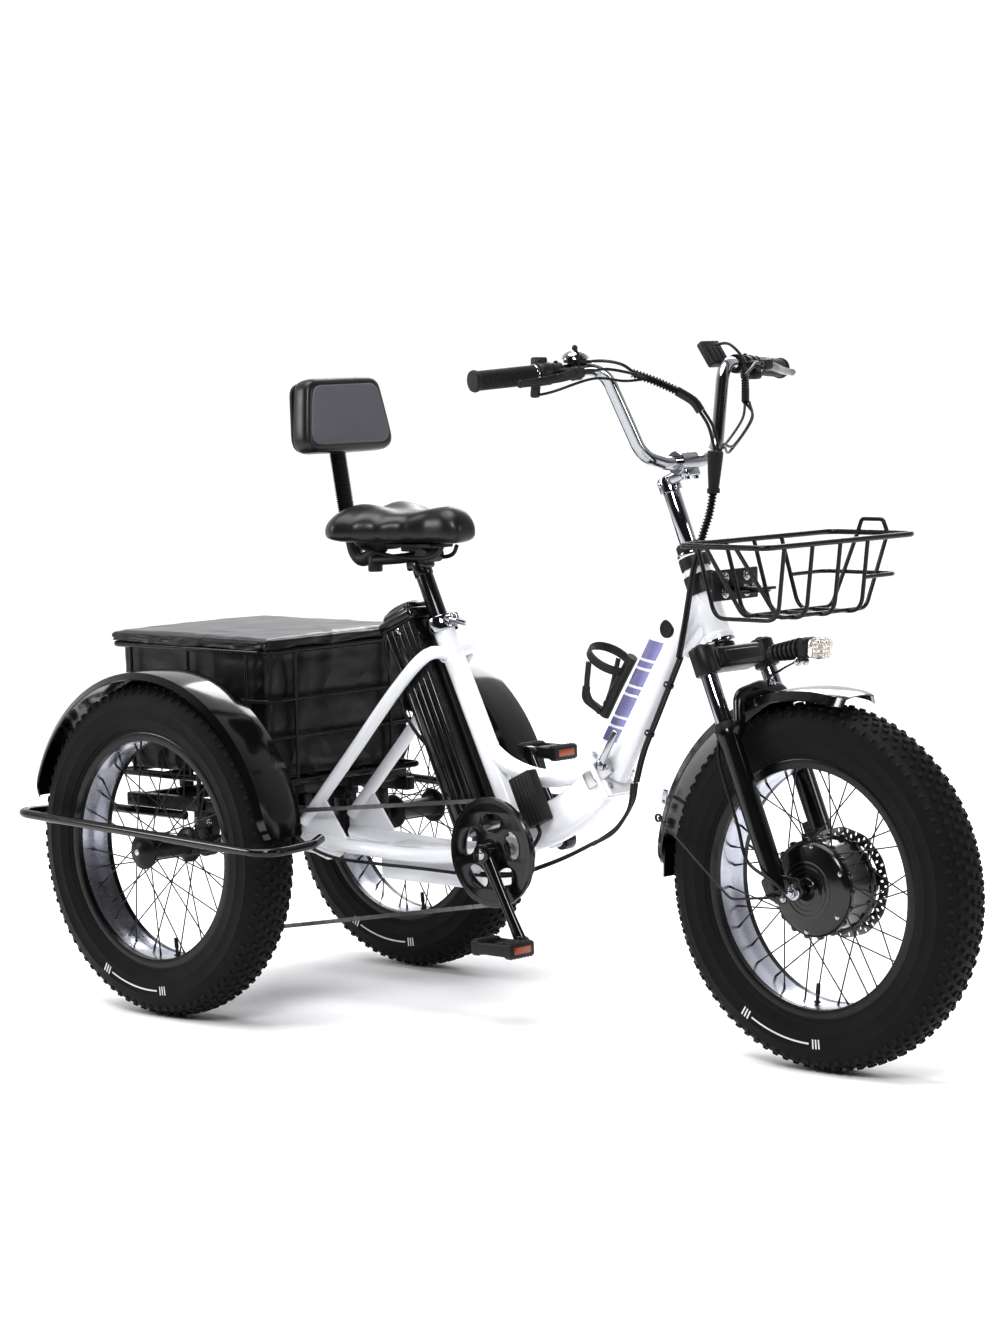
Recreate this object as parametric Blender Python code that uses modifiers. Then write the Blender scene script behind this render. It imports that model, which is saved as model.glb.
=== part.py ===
"""Adult electric tricycle with a folding frame, fat tyres and two baskets.

Metres, +X forward, +Y to the rider's left, +Z up. The shapes are drawn with x counted
from the front axle, and the whole machine is moved onto its origin at the end: the middle
of its length and width, on the ground.
"""
import math

import bmesh
import bpy
from mathutils import Matrix, Vector

# ---------------------------------------------------------------- driving dimensions
FRONT_AXLE_X = 0.6275          # front axle ahead of the origin
WHEELBASE = 1.2345
HALF_TRACK = 0.310             # wheel centre planes of the rear pair
WHEEL_STEPS = 40
TYRE_R = 0.298                 # 20 x 4.0 tyre
TYRE_HALF_WIDTH = 0.049
BEAD_R = 0.203
RIM_R = 0.194
RIM_HALF_WIDTH = 0.040
AXLE_Z = TYRE_R
REAR_X = -WHEELBASE

HEAD_LEAN = math.radians(22)   # steering axis, from the vertical
HEAD_FOOT = Vector((-0.208, 0, 0.681))
HEAD_LENGTH = 0.156
LEG_Y = 0.075
LEG_AHEAD = 0.0175             # fork legs ahead of the steering axis
AXLE_DOWN = -0.4330            # front axle along the steering axis
AXLE_AHEAD = 0.0494
STANCHION_R = 0.014
LOWER_LEG_R = 0.0185

SEAT_LEAN = math.radians(25)   # seat tube, from the vertical
SEAT_TOP = Vector((-0.847, 0, 0.696))
SEAT_TUBE_R = 0.0195
SEAT_POST_R = 0.0155
CRANK = Vector((-0.655, 0, 0.309))
CRANK_LENGTH = 0.170
CRANK_ANGLE = math.radians(32)  # right crank, forward of straight down
CHAIN_Y = -0.078
ROTOR_Y = 0.085                # rear brake disc, on the left half axle
SPROCKET_R = 0.089
CASSETTE_R = 0.036

HINGE = Vector((-0.457, 0, 0.452))
HINGE_LEAN = math.radians(34.4)  # hinge face, from the vertical
HINGE_PIN_Y = 0.047

BAR_R = 0.0111
BAR_CLAMP = Vector((-0.279, 0, 0.973))
BAR_LOW_BEND = Vector((-0.287, -0.093, 0.987))
BAR_TOP_BEND = Vector((-0.316, -0.151, 1.132))
BAR_END = Vector((-0.383, -0.381, 1.117))

WIRE_R = 0.0035


# ---------------------------------------------------------------- scene and materials
def clear_scene():
    for obj in list(bpy.data.objects):
        bpy.data.objects.remove(obj, do_unlink=True)


def new_collection(name):
    collection = bpy.data.collections.new(name)
    bpy.context.scene.collection.children.link(collection)
    return collection


clear_scene()
PARTS = new_collection("adult_tricycle")

FINISHES = {
    "white_paint": ((0.86, 0.87, 0.89), 0.25, 0.0),
    "black_paint": ((0.02, 0.02, 0.022), 0.3, 0.2),
    "chrome": ((0.78, 0.79, 0.80), 0.12, 1.0),
    "steel": ((0.45, 0.45, 0.46), 0.35, 1.0),
    "black_plastic": ((0.03, 0.03, 0.032), 0.5, 0.0),
    "rubber": ((0.025, 0.025, 0.025), 0.8, 0.0),
    "rim": ((0.05, 0.05, 0.055), 0.3, 0.6),
    "leather": ((0.035, 0.035, 0.037), 0.55, 0.0),
    "nylon": ((0.02, 0.02, 0.021), 0.7, 0.0),
    "lens": ((0.85, 0.85, 0.80), 0.1, 0.0),
    "amber": ((0.8, 0.25, 0.03), 0.2, 0.0),
}


def node_material(node, finish):
    """Each sub-part has a material of its own, in one of the finishes."""
    colour, roughness, metallic = FINISHES[finish]
    material = bpy.data.materials.new(node + "_" + finish)
    material.use_nodes = True
    shader = material.node_tree.nodes["Principled BSDF"]
    shader.inputs["Base Color"].default_value = (*colour, 1)
    shader.inputs["Roughness"].default_value = roughness
    shader.inputs["Metallic"].default_value = metallic
    return material


# ---------------------------------------------------------------- modelling tools
def add_mesh(name, mesh):
    obj = bpy.data.objects.new(name, mesh)
    PARTS.objects.link(obj)
    return obj


def from_bmesh(name, bm):
    bm.normal_update()
    bmesh.ops.recalc_face_normals(bm, faces=bm.faces)
    mesh = bpy.data.meshes.new(name)
    bm.to_mesh(mesh)
    bm.free()
    return add_mesh(name, mesh)


def baked(obj):
    """Replace an object by the closed mesh that its modifiers or curve make."""
    bpy.context.view_layer.update()
    graph = bpy.context.evaluated_depsgraph_get()
    mesh = bpy.data.meshes.new_from_object(obj.evaluated_get(graph))
    mesh.transform(obj.matrix_world)
    name = obj.name
    bpy.data.objects.remove(obj, do_unlink=True)
    bm = bmesh.new()
    bm.from_mesh(mesh)
    bmesh.ops.remove_doubles(bm, verts=bm.verts, dist=0.00001)
    bpy.data.meshes.remove(mesh)
    return from_bmesh(name, bm)


def rod(name, start, end, radius, sides=12, end_radius=None):
    """Solid cylinder or cone between two points."""
    start, end = Vector(start), Vector(end)
    along = end - start
    bm = bmesh.new()
    bmesh.ops.create_cone(bm, cap_ends=True, segments=sides, radius1=radius,
                          radius2=radius if end_radius is None else end_radius, depth=along.length)
    turn = along.to_track_quat("Z", "Y").to_matrix().to_4x4()
    bm.transform(Matrix.Translation((start + end) / 2) @ turn)
    return from_bmesh(name, bm)


def block(name, centre, size, lean=0.0, turn=0.0, bevel=0.0):
    """Box leaning back about Y by lean and turned about Z, with optional rounded edges."""
    bm = bmesh.new()
    bmesh.ops.create_cube(bm, size=1)
    bm.transform(Matrix.Diagonal((*size, 1)))
    if bevel:
        bmesh.ops.bevel(bm, geom=bm.edges[:], offset=bevel, segments=1, affect="EDGES")
    place = Matrix.Translation(centre) @ Matrix.Rotation(turn, 4, "Z") @ Matrix.Rotation(-lean, 4, "Y")
    bm.transform(place)
    return from_bmesh(name, bm)


def pipe(name, points, radius, fineness=1, closed=False, flatten=1.0):
    """Tube along a route: fineness 1 gives six sides, 2 gives eight."""
    curve = bpy.data.curves.new(name, "CURVE")
    curve.dimensions = "3D"
    curve.bevel_depth = radius
    curve.bevel_resolution = fineness
    curve.use_fill_caps = True
    spline = curve.splines.new("POLY")
    spline.points.add(len(points) - 1)
    for target, point in zip(spline.points, points):
        target.co = (*point, 1)
    spline.use_cyclic_u = closed
    obj = add_mesh(name, curve)
    obj.scale.y = flatten
    return baked(obj)


def turned(name, profile, centre, axis="Y", steps=24, closed=True, sweep=360.0, first=0.0, thickness=0.0):
    """Profile of (radius, height) points swept about an axis; first and sweep are in degrees."""
    mesh = bpy.data.meshes.new(name)
    count = len(profile)
    edges = [(i, i + 1) for i in range(count - 1)]
    if closed:
        edges.append((count - 1, 0))
    mesh.from_pydata([(r, 0, h) for r, h in profile], edges, [])
    obj = add_mesh(name, mesh)
    screw = obj.modifiers.new("Screw", "SCREW")
    screw.angle = math.radians(sweep)
    screw.steps = steps
    screw.render_steps = steps
    screw.use_merge_vertices = True
    screw.merge_threshold = 0.00001
    if thickness:
        shell = obj.modifiers.new("Solidify", "SOLIDIFY")
        shell.thickness = thickness
        shell.offset = 0
    turn = Matrix.Rotation(math.radians(first), 4, "Z")
    if axis == "Y":
        turn = Matrix.Rotation(math.radians(-90), 4, "X") @ turn
    elif axis != "Z":
        turn = Vector(axis).to_track_quat("Z", "Y").to_matrix().to_4x4() @ turn
    obj.matrix_world = Matrix.Translation(centre) @ turn
    return baked(obj)


def outline_plate(name, outline, y, thickness):
    """Flat plate in the XZ plane, from a list of (x, z) points."""
    curve = bpy.data.curves.new(name, "CURVE")
    curve.dimensions = "2D"
    curve.fill_mode = "BOTH"
    curve.extrude = thickness / 2
    spline = curve.splines.new("POLY")
    spline.points.add(len(outline) - 1)
    for target, (x, z) in zip(spline.points, outline):
        target.co = (x, z, 0, 1)
    spline.use_cyclic_u = True
    obj = add_mesh(name, curve)
    obj.matrix_world = Matrix.Translation((0, y, 0)) @ Matrix.Rotation(math.radians(90), 4, "X")
    return baked(obj)


def combined(operation, first, others):
    """Boolean of solids, one after the other."""
    for other in others:
        modifier = first.modifiers.new("Boolean", "BOOLEAN")
        modifier.operation = operation
        modifier.solver = "EXACT"
        modifier.object = other
        first = baked(first)
        bpy.data.objects.remove(other, do_unlink=True)
    return first


def weld(name, pieces):
    result = combined("UNION", pieces[0], pieces[1:])
    result.name = name
    return result


def carve(target, cutters):
    name = target.name
    result = combined("DIFFERENCE", target, cutters)
    result.name = name
    return result


def finish(obj, name, look, pivot=None):
    """Name a solid, give it its material, and put its origin on its joint's axis."""
    obj.name = name
    obj.data.name = name
    obj.data.materials.clear()
    obj.data.materials.append(node_material(name, look))
    if pivot is not None:
        obj.data.transform(Matrix.Translation(-Vector(pivot)))
        obj.location = pivot
    obj.data.shade_smooth()
    obj.data.set_sharp_from_angle(angle=math.radians(40))
    return obj


def rounded_route(corners, radius, steps=3, closed=False):
    """Route through corner points, each turned into an arc of about this radius."""
    corners = [Vector(p) for p in corners]
    count = len(corners)
    route = []
    for i, corner in enumerate(corners):
        if not closed and i in (0, count - 1):
            route.append(corner)
            continue
        before = corners[i - 1] - corner
        after = corners[(i + 1) % count] - corner
        half = before.angle(after) / 2
        setback = min(radius / math.tan(half), before.length * 0.49, after.length * 0.49)
        start = corner + before.normalized() * setback
        end = corner + after.normalized() * setback
        for k in range(steps + 1):
            t = k / steps
            route.append(start * (1 - t) ** 2 + corner * 2 * t * (1 - t) + end * t ** 2)
    return route


def smooth_route(points, spacing):
    """Points read off a smooth curve through the route's own points."""
    points = [Vector(p) for p in points]
    ends = [points[0] * 2 - points[1]] + points + [points[-1] * 2 - points[-2]]
    route = [points[0]]
    for p0, p1, p2, p3 in zip(ends, ends[1:], ends[2:], ends[3:]):
        count = max(1, round((p2 - p1).length / spacing))
        for k in range(1, count + 1):
            t = k / count
            route.append(0.5 * (p1 * 2 + (p2 - p0) * t + (p0 * 2 - p1 * 5 + p2 * 4 - p3) * t ** 2
                                + (p1 * 3 - p0 - p2 * 3 + p3) * t ** 3))
    return route


def mirrored(point):
    return Vector((point[0], -point[1], point[2]))


def side_name(side):
    return "right" if side < 0 else "left"


# ---------------------------------------------------------------- local frames
HEAD_UP = Vector((-math.sin(HEAD_LEAN), 0, math.cos(HEAD_LEAN)))
HEAD_AHEAD = Vector((math.cos(HEAD_LEAN), 0, math.sin(HEAD_LEAN)))
SEAT_UP = Vector((-math.sin(SEAT_LEAN), 0, math.cos(SEAT_LEAN)))
SEAT_BACK = Vector((-math.cos(SEAT_LEAN), 0, -math.sin(SEAT_LEAN)))


def on_head(up, ahead=0.0, y=0.0):
    """Point up the steering axis from the foot of the head tube, and ahead of it."""
    return HEAD_FOOT + HEAD_UP * up + HEAD_AHEAD * ahead + Vector((0, y, 0))


def on_seat(up, back=0.0, y=0.0):
    """Point up the seat tube from its top, and behind it."""
    return SEAT_TOP + SEAT_UP * up + SEAT_BACK * back + Vector((0, y, 0))


FRONT_AXLE = Vector((0, 0, AXLE_Z))
HINGE_NORMAL = Vector((math.cos(HINGE_LEAN), 0, math.sin(HINGE_LEAN)))


# ---------------------------------------------------------------- wheels
def make_tyre(name, centre):
    """Fat tyre with a flat tread band, so that it stands still on the ground."""
    facet = 1 / math.cos(math.pi / WHEEL_STEPS)
    middle = (TYRE_R + BEAD_R) / 2
    half = (TYRE_R - BEAD_R) / 2
    profile = []
    for k in range(8):
        angle = math.radians(45 * k + 22.5)
        radius = (middle + half * math.cos(angle) / math.cos(math.radians(22.5))) * facet
        profile.append((radius, TYRE_HALF_WIDTH * math.sin(angle) / math.cos(math.radians(22.5))))
    tyre = turned(name, profile, centre, steps=WHEEL_STEPS, first=180 / WHEEL_STEPS)
    return finish(tyre, name, "rubber", centre)


def make_rim(name, centre):
    profile = [(RIM_R, RIM_HALF_WIDTH), (RIM_R, -RIM_HALF_WIDTH), (0.210, -RIM_HALF_WIDTH),
               (0.2015, -0.026), (0.2015, 0.026), (0.210, RIM_HALF_WIDTH)]
    rim = turned(name, profile, centre, steps=WHEEL_STEPS, first=180 / WHEEL_STEPS)
    return finish(rim, name, "rim", centre)


def spokes(centre, flange_r, flange_y, count=14):
    """Plain spokes from alternate flanges to the middle of the rim."""
    made = []
    for k in range(count):
        angle = 2 * math.pi * (k + 0.5) / count
        side = 1 if k % 2 else -1
        out = Vector((math.cos(angle), 0, math.sin(angle)))
        start = centre + out * flange_r + Vector((0, side * flange_y, 0))
        end = centre + out * (RIM_R - 0.0016)
        made.append(rod("spoke", start, end, 0.0018, sides=4))
    return made


def make_front_wheel():
    make_tyre("front_tyre", FRONT_AXLE)
    make_rim("front_rim", FRONT_AXLE)
    drum = [(0.0074, -0.050), (0.030, -0.050), (0.078, -0.040), (0.083, -0.030), (0.083, 0.030),
            (0.060, 0.044), (0.0074, 0.046)]
    motor = turned("front_hub_motor", drum, FRONT_AXLE, steps=20)
    wheel = weld("front_hub_motor", [motor] + spokes(FRONT_AXLE, 0.079, 0.026))
    finish(wheel, "front_hub_motor", "black_paint", FRONT_AXLE)
    ring = [(0.030, 0.0480), (0.090, 0.0480), (0.090, 0.0500), (0.030, 0.0500)]
    finish(turned("front_brake_rotor", ring, FRONT_AXLE, steps=24), "front_brake_rotor", "steel", FRONT_AXLE)


def make_rear_wheel(side):
    """Wheel whose hub carries its own half of the split rear axle."""
    label = side_name(side)
    centre = Vector((REAR_X, side * HALF_TRACK, AXLE_Z))
    make_tyre("rear_tyre_" + label, centre)
    make_rim("rear_rim_" + label, centre)
    shell = [(0, -0.070), (0.010, -0.070), (0.022, -0.066), (0.031, -0.058), (0.031, -0.052), (0.019, -0.045),
             (0.019, 0.040), (0.031, 0.046), (0.031, 0.052), (0.022, 0.056), (0.0095, 0.060), (0, 0.060)]
    hub = turned("hub", shell, centre, steps=14, closed=False)
    inner_end = Vector((REAR_X, side * 0.004, AXLE_Z))
    axle = rod("axle", inner_end, centre, 0.0085, sides=12)
    hub = weld("hub", [hub, axle] + spokes(centre, 0.026, 0.049))
    finish(hub, "rear_hub_" + label, "black_paint", centre)


def make_rear_rotor():
    centre = Vector((REAR_X, ROTOR_Y, AXLE_Z))
    ring = [(0.0090, -0.001), (0.070, -0.001), (0.070, 0.001), (0.0090, 0.001)]
    finish(turned("rear_brake_rotor", ring, centre, steps=24), "rear_brake_rotor", "steel", centre)


# ---------------------------------------------------------------- fork and steering
def make_fork_upper():
    pieces = [block("crown", on_head(-0.032, LEG_AHEAD), (0.052, 0.150, 0.040), HEAD_LEAN, bevel=0.006),
              rod("steerer", on_head(-0.030), on_head(HEAD_LENGTH + 0.002), 0.0125, sides=16)]
    for side in (-1, 1):
        top = on_head(-0.008, LEG_AHEAD, side * LEG_Y)
        pieces.append(rod("cap", top, on_head(-0.055, LEG_AHEAD, side * LEG_Y), 0.021, sides=16))
        pieces.append(rod("stanchion", on_head(-0.030, LEG_AHEAD, side * LEG_Y),
                          on_head(-0.250, LEG_AHEAD, side * LEG_Y), STANCHION_R, sides=16))
    finish(weld("fork_upper", pieces), "fork_upper", "black_paint", HEAD_FOOT)


def make_fork_lowers():
    pieces = []
    for side in (-1, 1):
        y = side * LEG_Y
        pieces.append(rod("leg", on_head(-0.145, LEG_AHEAD, y), on_head(-0.425, LEG_AHEAD, y), LOWER_LEG_R,
                          sides=16))
        pieces.append(block("dropout", on_head(AXLE_DOWN, 0.034, y), (0.056, 0.009, 0.030), HEAD_LEAN))
    arch = rounded_route([on_head(-0.165, 0.028, -0.074), on_head(-0.105, 0.046, -0.074),
                          on_head(-0.093, 0.050, 0), on_head(-0.105, 0.046, 0.074),
                          on_head(-0.165, 0.028, 0.074)], 0.030)
    pieces.append(pipe("arch", arch, 0.0085))
    pieces.append(rod("axle", FRONT_AXLE + Vector((0, -0.092, 0)), FRONT_AXLE + Vector((0, 0.092, 0)), 0.0065,
                      sides=12))
    pieces.append(block("caliper", FRONT_AXLE + Vector((-0.062, 0.0610, 0.052)), (0.045, 0.014, 0.060),
                        HEAD_LEAN))
    lowers = weld("fork_lowers", pieces)
    bores = [rod("bore", on_head(-0.120, LEG_AHEAD, side * LEG_Y), on_head(-0.320, LEG_AHEAD, side * LEG_Y),
                 STANCHION_R + 0.0009, sides=16) for side in (-1, 1)]
    rotor_slot = turned("slot", [(0.0250, 0.0470), (0.0925, 0.0470), (0.0925, 0.0530), (0.0250, 0.0530)],
                        FRONT_AXLE, steps=24)
    lowers = carve(lowers, bores + [rotor_slot])
    finish(lowers, "fork_lowers", "black_paint", on_head(-0.145, LEG_AHEAD))


def make_front_mudguard():
    """Arched guard over the tyre, from ahead of the crown to behind the wheel, with two stays."""
    section = [(0.304, -0.054), (0.316, -0.044), (0.321, 0.0), (0.316, 0.044), (0.304, 0.054)]
    guard = turned("guard", section, FRONT_AXLE, steps=18, closed=False, sweep=101, first=-177,
                   thickness=0.0024)
    pieces = [guard]
    for side in (-1, 1):
        foot = FRONT_AXLE + Vector((-0.2925, side * 0.0530, 0.0915))
        pieces.append(pipe("stay", rounded_route([foot, FRONT_AXLE + Vector((-0.12, side * 0.092, -0.02)),
                                                  FRONT_AXLE + Vector((-0.038, side * 0.092, -0.012))],
                                                 0.03, 2),
                           0.0025))
    finish(weld("front_mudguard", pieces), "front_mudguard", "black_paint")


def make_headlight():
    body = rod("body", (-0.108, 0, 0.666), (-0.030, 0, 0.680), 0.0150, sides=12)
    head = block("head", (-0.012, 0, 0.680), (0.050, 0.040, 0.034), math.radians(-8), bevel=0.008)
    bend = rounded_route([(-0.100, 0, 0.6135), (-0.104, 0, 0.630), (-0.040, 0, 0.668)], 0.01, 2)
    bracket = pipe("bracket", bend,
                   0.004)
    finish(weld("headlight", [body, head, bracket]), "headlight", "black_plastic")


def make_stem():
    clamp_up = 0.2973
    clamp_ahead = 0.0436
    column = rod("column", on_head(HEAD_LENGTH + 0.0055), on_head(0.292), 0.0143, sides=16)
    arm = block("arm", on_head(0.284, 0.020), (0.050, 0.026, 0.030), HEAD_LEAN, bevel=0.004)
    clamp = rod("clamp", on_head(clamp_up, clamp_ahead, -0.021), on_head(clamp_up, clamp_ahead, 0.021),
                0.0195,
                sides=16)
    stem = weld("stem", [column, arm, clamp])
    bore = rod("bore", BAR_CLAMP + Vector((0, -0.03, 0)), BAR_CLAMP + Vector((0, 0.03, 0)), BAR_R + 0.0009,
               sides=16)
    finish(carve(stem, [bore]), "stem", "chrome")


BAR_OUT = (BAR_END - BAR_TOP_BEND).normalized()   # along the right grip, outwards


def on_bar(inwards, side, ahead=0.0, up=0.0):
    """Point on a grip's axis, this far in from the end of the bar, then ahead and up."""
    point = BAR_END - BAR_OUT * inwards + Vector((ahead, 0, up))
    return point if side < 0 else mirrored(point)


def make_handlebar():
    right = [BAR_END, BAR_TOP_BEND, BAR_LOW_BEND, BAR_CLAMP + Vector((0, -0.045, 0))]
    left = [mirrored(p) for p in reversed(right)]
    finish(pipe("handlebar", rounded_route(right + left, 0.050, 4), BAR_R, fineness=2), "handlebar", "chrome")


def hollow_on_bar(name, side, inner, outer, radius, bore, sides=12):
    """Sleeve round the bar between two distances from its end."""
    sleeve = rod(name, on_bar(inner, side), on_bar(outer, side), radius, sides=sides)
    cutter = rod("bore", on_bar(inner + 0.05, side), on_bar(-0.0008, side), bore, sides=sides)
    return carve(sleeve, [cutter])


def make_bar_fittings(side):
    label = side_name(side)
    bore = BAR_R + 0.0006
    finish(hollow_on_bar("grip", side, 0.112, -0.004, 0.0165, bore), "grip_" + label, "rubber")
    perch = rod("perch", on_bar(0.160, side), on_bar(0.143, side), 0.0165, sides=12)
    arm = block("arm", on_bar(0.150, side, ahead=0.0244), (0.0268, 0.024, 0.012))
    perch = carve(weld("perch", [perch, arm]), [rod("bore", on_bar(0.18, side), on_bar(0.13, side), bore)])
    finish(perch, "brake_perch_" + label, "black_plastic")
    pivot = on_bar(0.150, side, ahead=0.050)
    lever = pipe("lever", rounded_route([pivot, on_bar(0.115, side, ahead=0.052, up=-0.006),
                                         on_bar(0.075, side, ahead=0.048, up=-0.008),
                                         on_bar(0.038, side, ahead=0.050, up=-0.008)], 0.03, 2), 0.0055)
    finish(lever, "brake_lever_" + label, "black_plastic", pivot)


def make_throttle():
    bore = BAR_R + 0.0006
    collar = rod("collar", on_bar(0.1395, -1), on_bar(0.1135, -1), 0.019, sides=12)
    thumb = block("thumb", on_bar(0.126, -1, ahead=-0.016, up=-0.022), (0.010, 0.014, 0.034))
    cutter = rod("bore", on_bar(0.15, -1), on_bar(0.10, -1), bore)
    throttle = carve(weld("throttle", [collar, thumb]), [cutter])
    finish(throttle, "throttle", "black_plastic", on_bar(0.126, -1))


BELL_SPOT = on_bar(0.188, -1)


def make_bell():
    base = rod("base", on_bar(0.196, -1), on_bar(0.180, -1), 0.0165, sides=12)
    base = carve(base, [rod("bore", on_bar(0.22, -1), on_bar(0.15, -1), BAR_R + 0.0014)])
    seat = BELL_SPOT + Vector((0, 0, 0.0165))
    dome = [(0, 0.021), (0.012, 0.019), (0.020, 0.012), (0.0225, 0.004), (0.0225, 0.0), (0, 0.0)]
    neck = rod("neck", BELL_SPOT + Vector((0, 0, 0.0135)), seat + Vector((0, 0, 0.002)), 0.008)
    bell = weld("bell", [base, neck, turned("dome", dome, seat, axis="Z", steps=14, closed=False)])
    finish(bell, "bell", "chrome")
    pivot = BELL_SPOT + Vector((0.022, -0.016, 0.006))
    bend = [pivot, pivot + Vector((0.004, -0.004, 0.020)), pivot + Vector((0.004, -0.014, 0.033))]
    lever = pipe("lever", bend, 0.0035)
    finish(lever, "bell_lever", "black_plastic", pivot)


def make_display():
    """Small screen on a strap round the left bend of the bar, facing the rider."""
    spot = mirrored(BAR_TOP_BEND)
    strap = rod("strap", on_bar(0.193, 1), on_bar(0.179, 1), 0.0165, sides=12)
    strap = carve(strap, [rod("bore", on_bar(0.225, 1), on_bar(0.150, 1), BAR_R + 0.0014)])
    arm = block("arm", on_bar(0.187, 1, ahead=-0.0245, up=0.006), (0.022, 0.012, 0.006))
    screen = block("screen", spot + Vector((-0.046, 0.028, 0.014)), (0.016, 0.046, 0.048), math.radians(35),
                   bevel=0.003)
    finish(weld("display", [strap, arm, screen]), "display", "black_plastic")


# ---------------------------------------------------------------- front frame
def make_front_frame():
    """Head tube, wide main tube and the front half of the folding hinge."""
    head = rod("head", on_head(0.0015), on_head(HEAD_LENGTH - 0.003), 0.0225, sides=16)
    cup_low = rod("cup", on_head(0.0015), on_head(0.012), 0.026, sides=16)
    cup_top = rod("cup", on_head(HEAD_LENGTH - 0.017), on_head(HEAD_LENGTH), 0.026, sides=16)
    route = smooth_route([(-0.236, 0, 0.760), (-0.300, 0, 0.700), (-0.3575, 0, 0.611), (-0.408, 0, 0.530),
                          HINGE + HINGE_NORMAL * 0.006], 0.06)
    main = pipe("main", route, 0.036, fineness=3, flatten=0.66)
    plate = block("plate", HINGE + HINGE_NORMAL * 0.0055, (0.0100, 0.068, 0.094), HINGE_LEAN)
    knuckle = rod("knuckle", (HINGE.x, HINGE_PIN_Y, HINGE.z - 0.014), (HINGE.x, HINGE_PIN_Y, HINGE.z + 0.014),
                  0.0095)
    strap_spot = HINGE + HINGE_NORMAL * 0.0055 + Vector((0, 0.040, 0))
    strap = block("strap", strap_spot, (0.0092, 0.020, 0.026), HINGE_LEAN)
    keep_ahead = block("trim", HINGE + HINGE_NORMAL * -0.0998, (0.2, 0.3, 0.3), HINGE_LEAN)
    body = carve(weld("front_frame", [head, cup_low, cup_top, main, plate]), [keep_ahead])
    body = weld("front_frame", [body, strap, knuckle])
    pin_low = (HINGE.x, HINGE_PIN_Y, HINGE.z - 0.1)
    pin_high = (HINGE.x, HINGE_PIN_Y, HINGE.z + 0.1)
    body = carve(body, [rod("pin", pin_low, pin_high, 0.0052),
                        rod("bore", on_head(-0.02), on_head(HEAD_LENGTH + 0.02), 0.0137, sides=16)])
    finish(body, "front_frame", "white_paint", (HINGE.x, HINGE_PIN_Y, HINGE.z))


BASKET_LOW = 0.735
BASKET_RIM = 0.852
BASKET_REAR = -0.130
BASKET_FRONT = 0.047
BASKET_HALF = 0.193


def make_basket_bracket():
    """Bolted plate that carries the front basket off the head tube."""
    plate = block("plate", (-0.176, 0, 0.777), (0.006, 0.112, 0.050))
    spacer = block("spacer", (-0.194, 0, 0.777), (0.036, 0.040, 0.036))
    shelf = block("shelf", (-0.1510, 0, 0.7665), (0.052, 0.060, 0.005))
    bracket = weld("bracket", [plate, spacer, shelf])
    clear = rod("clear", on_head(0.0), on_head(HEAD_LENGTH + 0.05), 0.0229, sides=24)
    finish(carve(bracket, [clear]), "basket_bracket", "black_paint")


def make_front_basket():
    """Wire basket: rim, four wires front to back, two across, and a raised loop on the left."""
    rim = rounded_route([(BASKET_REAR, -BASKET_HALF, BASKET_RIM), (BASKET_REAR, BASKET_HALF, BASKET_RIM),
                         (BASKET_FRONT, BASKET_HALF, BASKET_RIM), (BASKET_FRONT, -BASKET_HALF, BASKET_RIM)],
                        0.025, 2, closed=True)
    pieces = [pipe("rim", rim, 0.0045, closed=True)]
    for y in (-0.145, -0.075, -0.005, 0.065):
        legs = rounded_route([(BASKET_REAR, y, BASKET_RIM), (BASKET_REAR + 0.034, y, BASKET_LOW),
                              (BASKET_FRONT - 0.016, y, BASKET_LOW), (BASKET_FRONT, y, BASKET_RIM)], 0.028, 2)
        pieces.append(pipe("wire", legs, WIRE_R, fineness=0))
    for x, foot in ((-0.073, -0.066), (-0.012, 0.004)):
        cross = rounded_route([(x, -BASKET_HALF, BASKET_RIM), (foot, -0.112, BASKET_LOW + 0.0015),
                               (foot, 0.112, BASKET_LOW + 0.0015), (x, BASKET_HALF, BASKET_RIM)], 0.030, 2)
        pieces.append(pipe("wire", cross, WIRE_R, fineness=0))
    loop = rounded_route([(-0.073, BASKET_HALF, BASKET_RIM), (-0.064, BASKET_HALF, BASKET_RIM + 0.022),
                          (-0.021, BASKET_HALF, BASKET_RIM + 0.022), (-0.012, BASKET_HALF, BASKET_RIM)],
                          0.009, 2)
    pieces.append(pipe("loop", loop, WIRE_R))
    middle = BASKET_RIM - 0.062
    rail = rounded_route([(BASKET_REAR + 0.018, 0.065, middle), (BASKET_REAR + 0.016, 0.154, middle),
                          (BASKET_FRONT - 0.012, 0.154, middle), (BASKET_FRONT - 0.0085, 0.065, middle)],
                          0.02, 2)
    pieces.append(pipe("rail", rail, WIRE_R))
    pieces.append(block("mount", (-0.136, 0, 0.7725), (0.066, 0.036, 0.0060)))
    finish(weld("front_basket", pieces), "front_basket", "black_paint")


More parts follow.
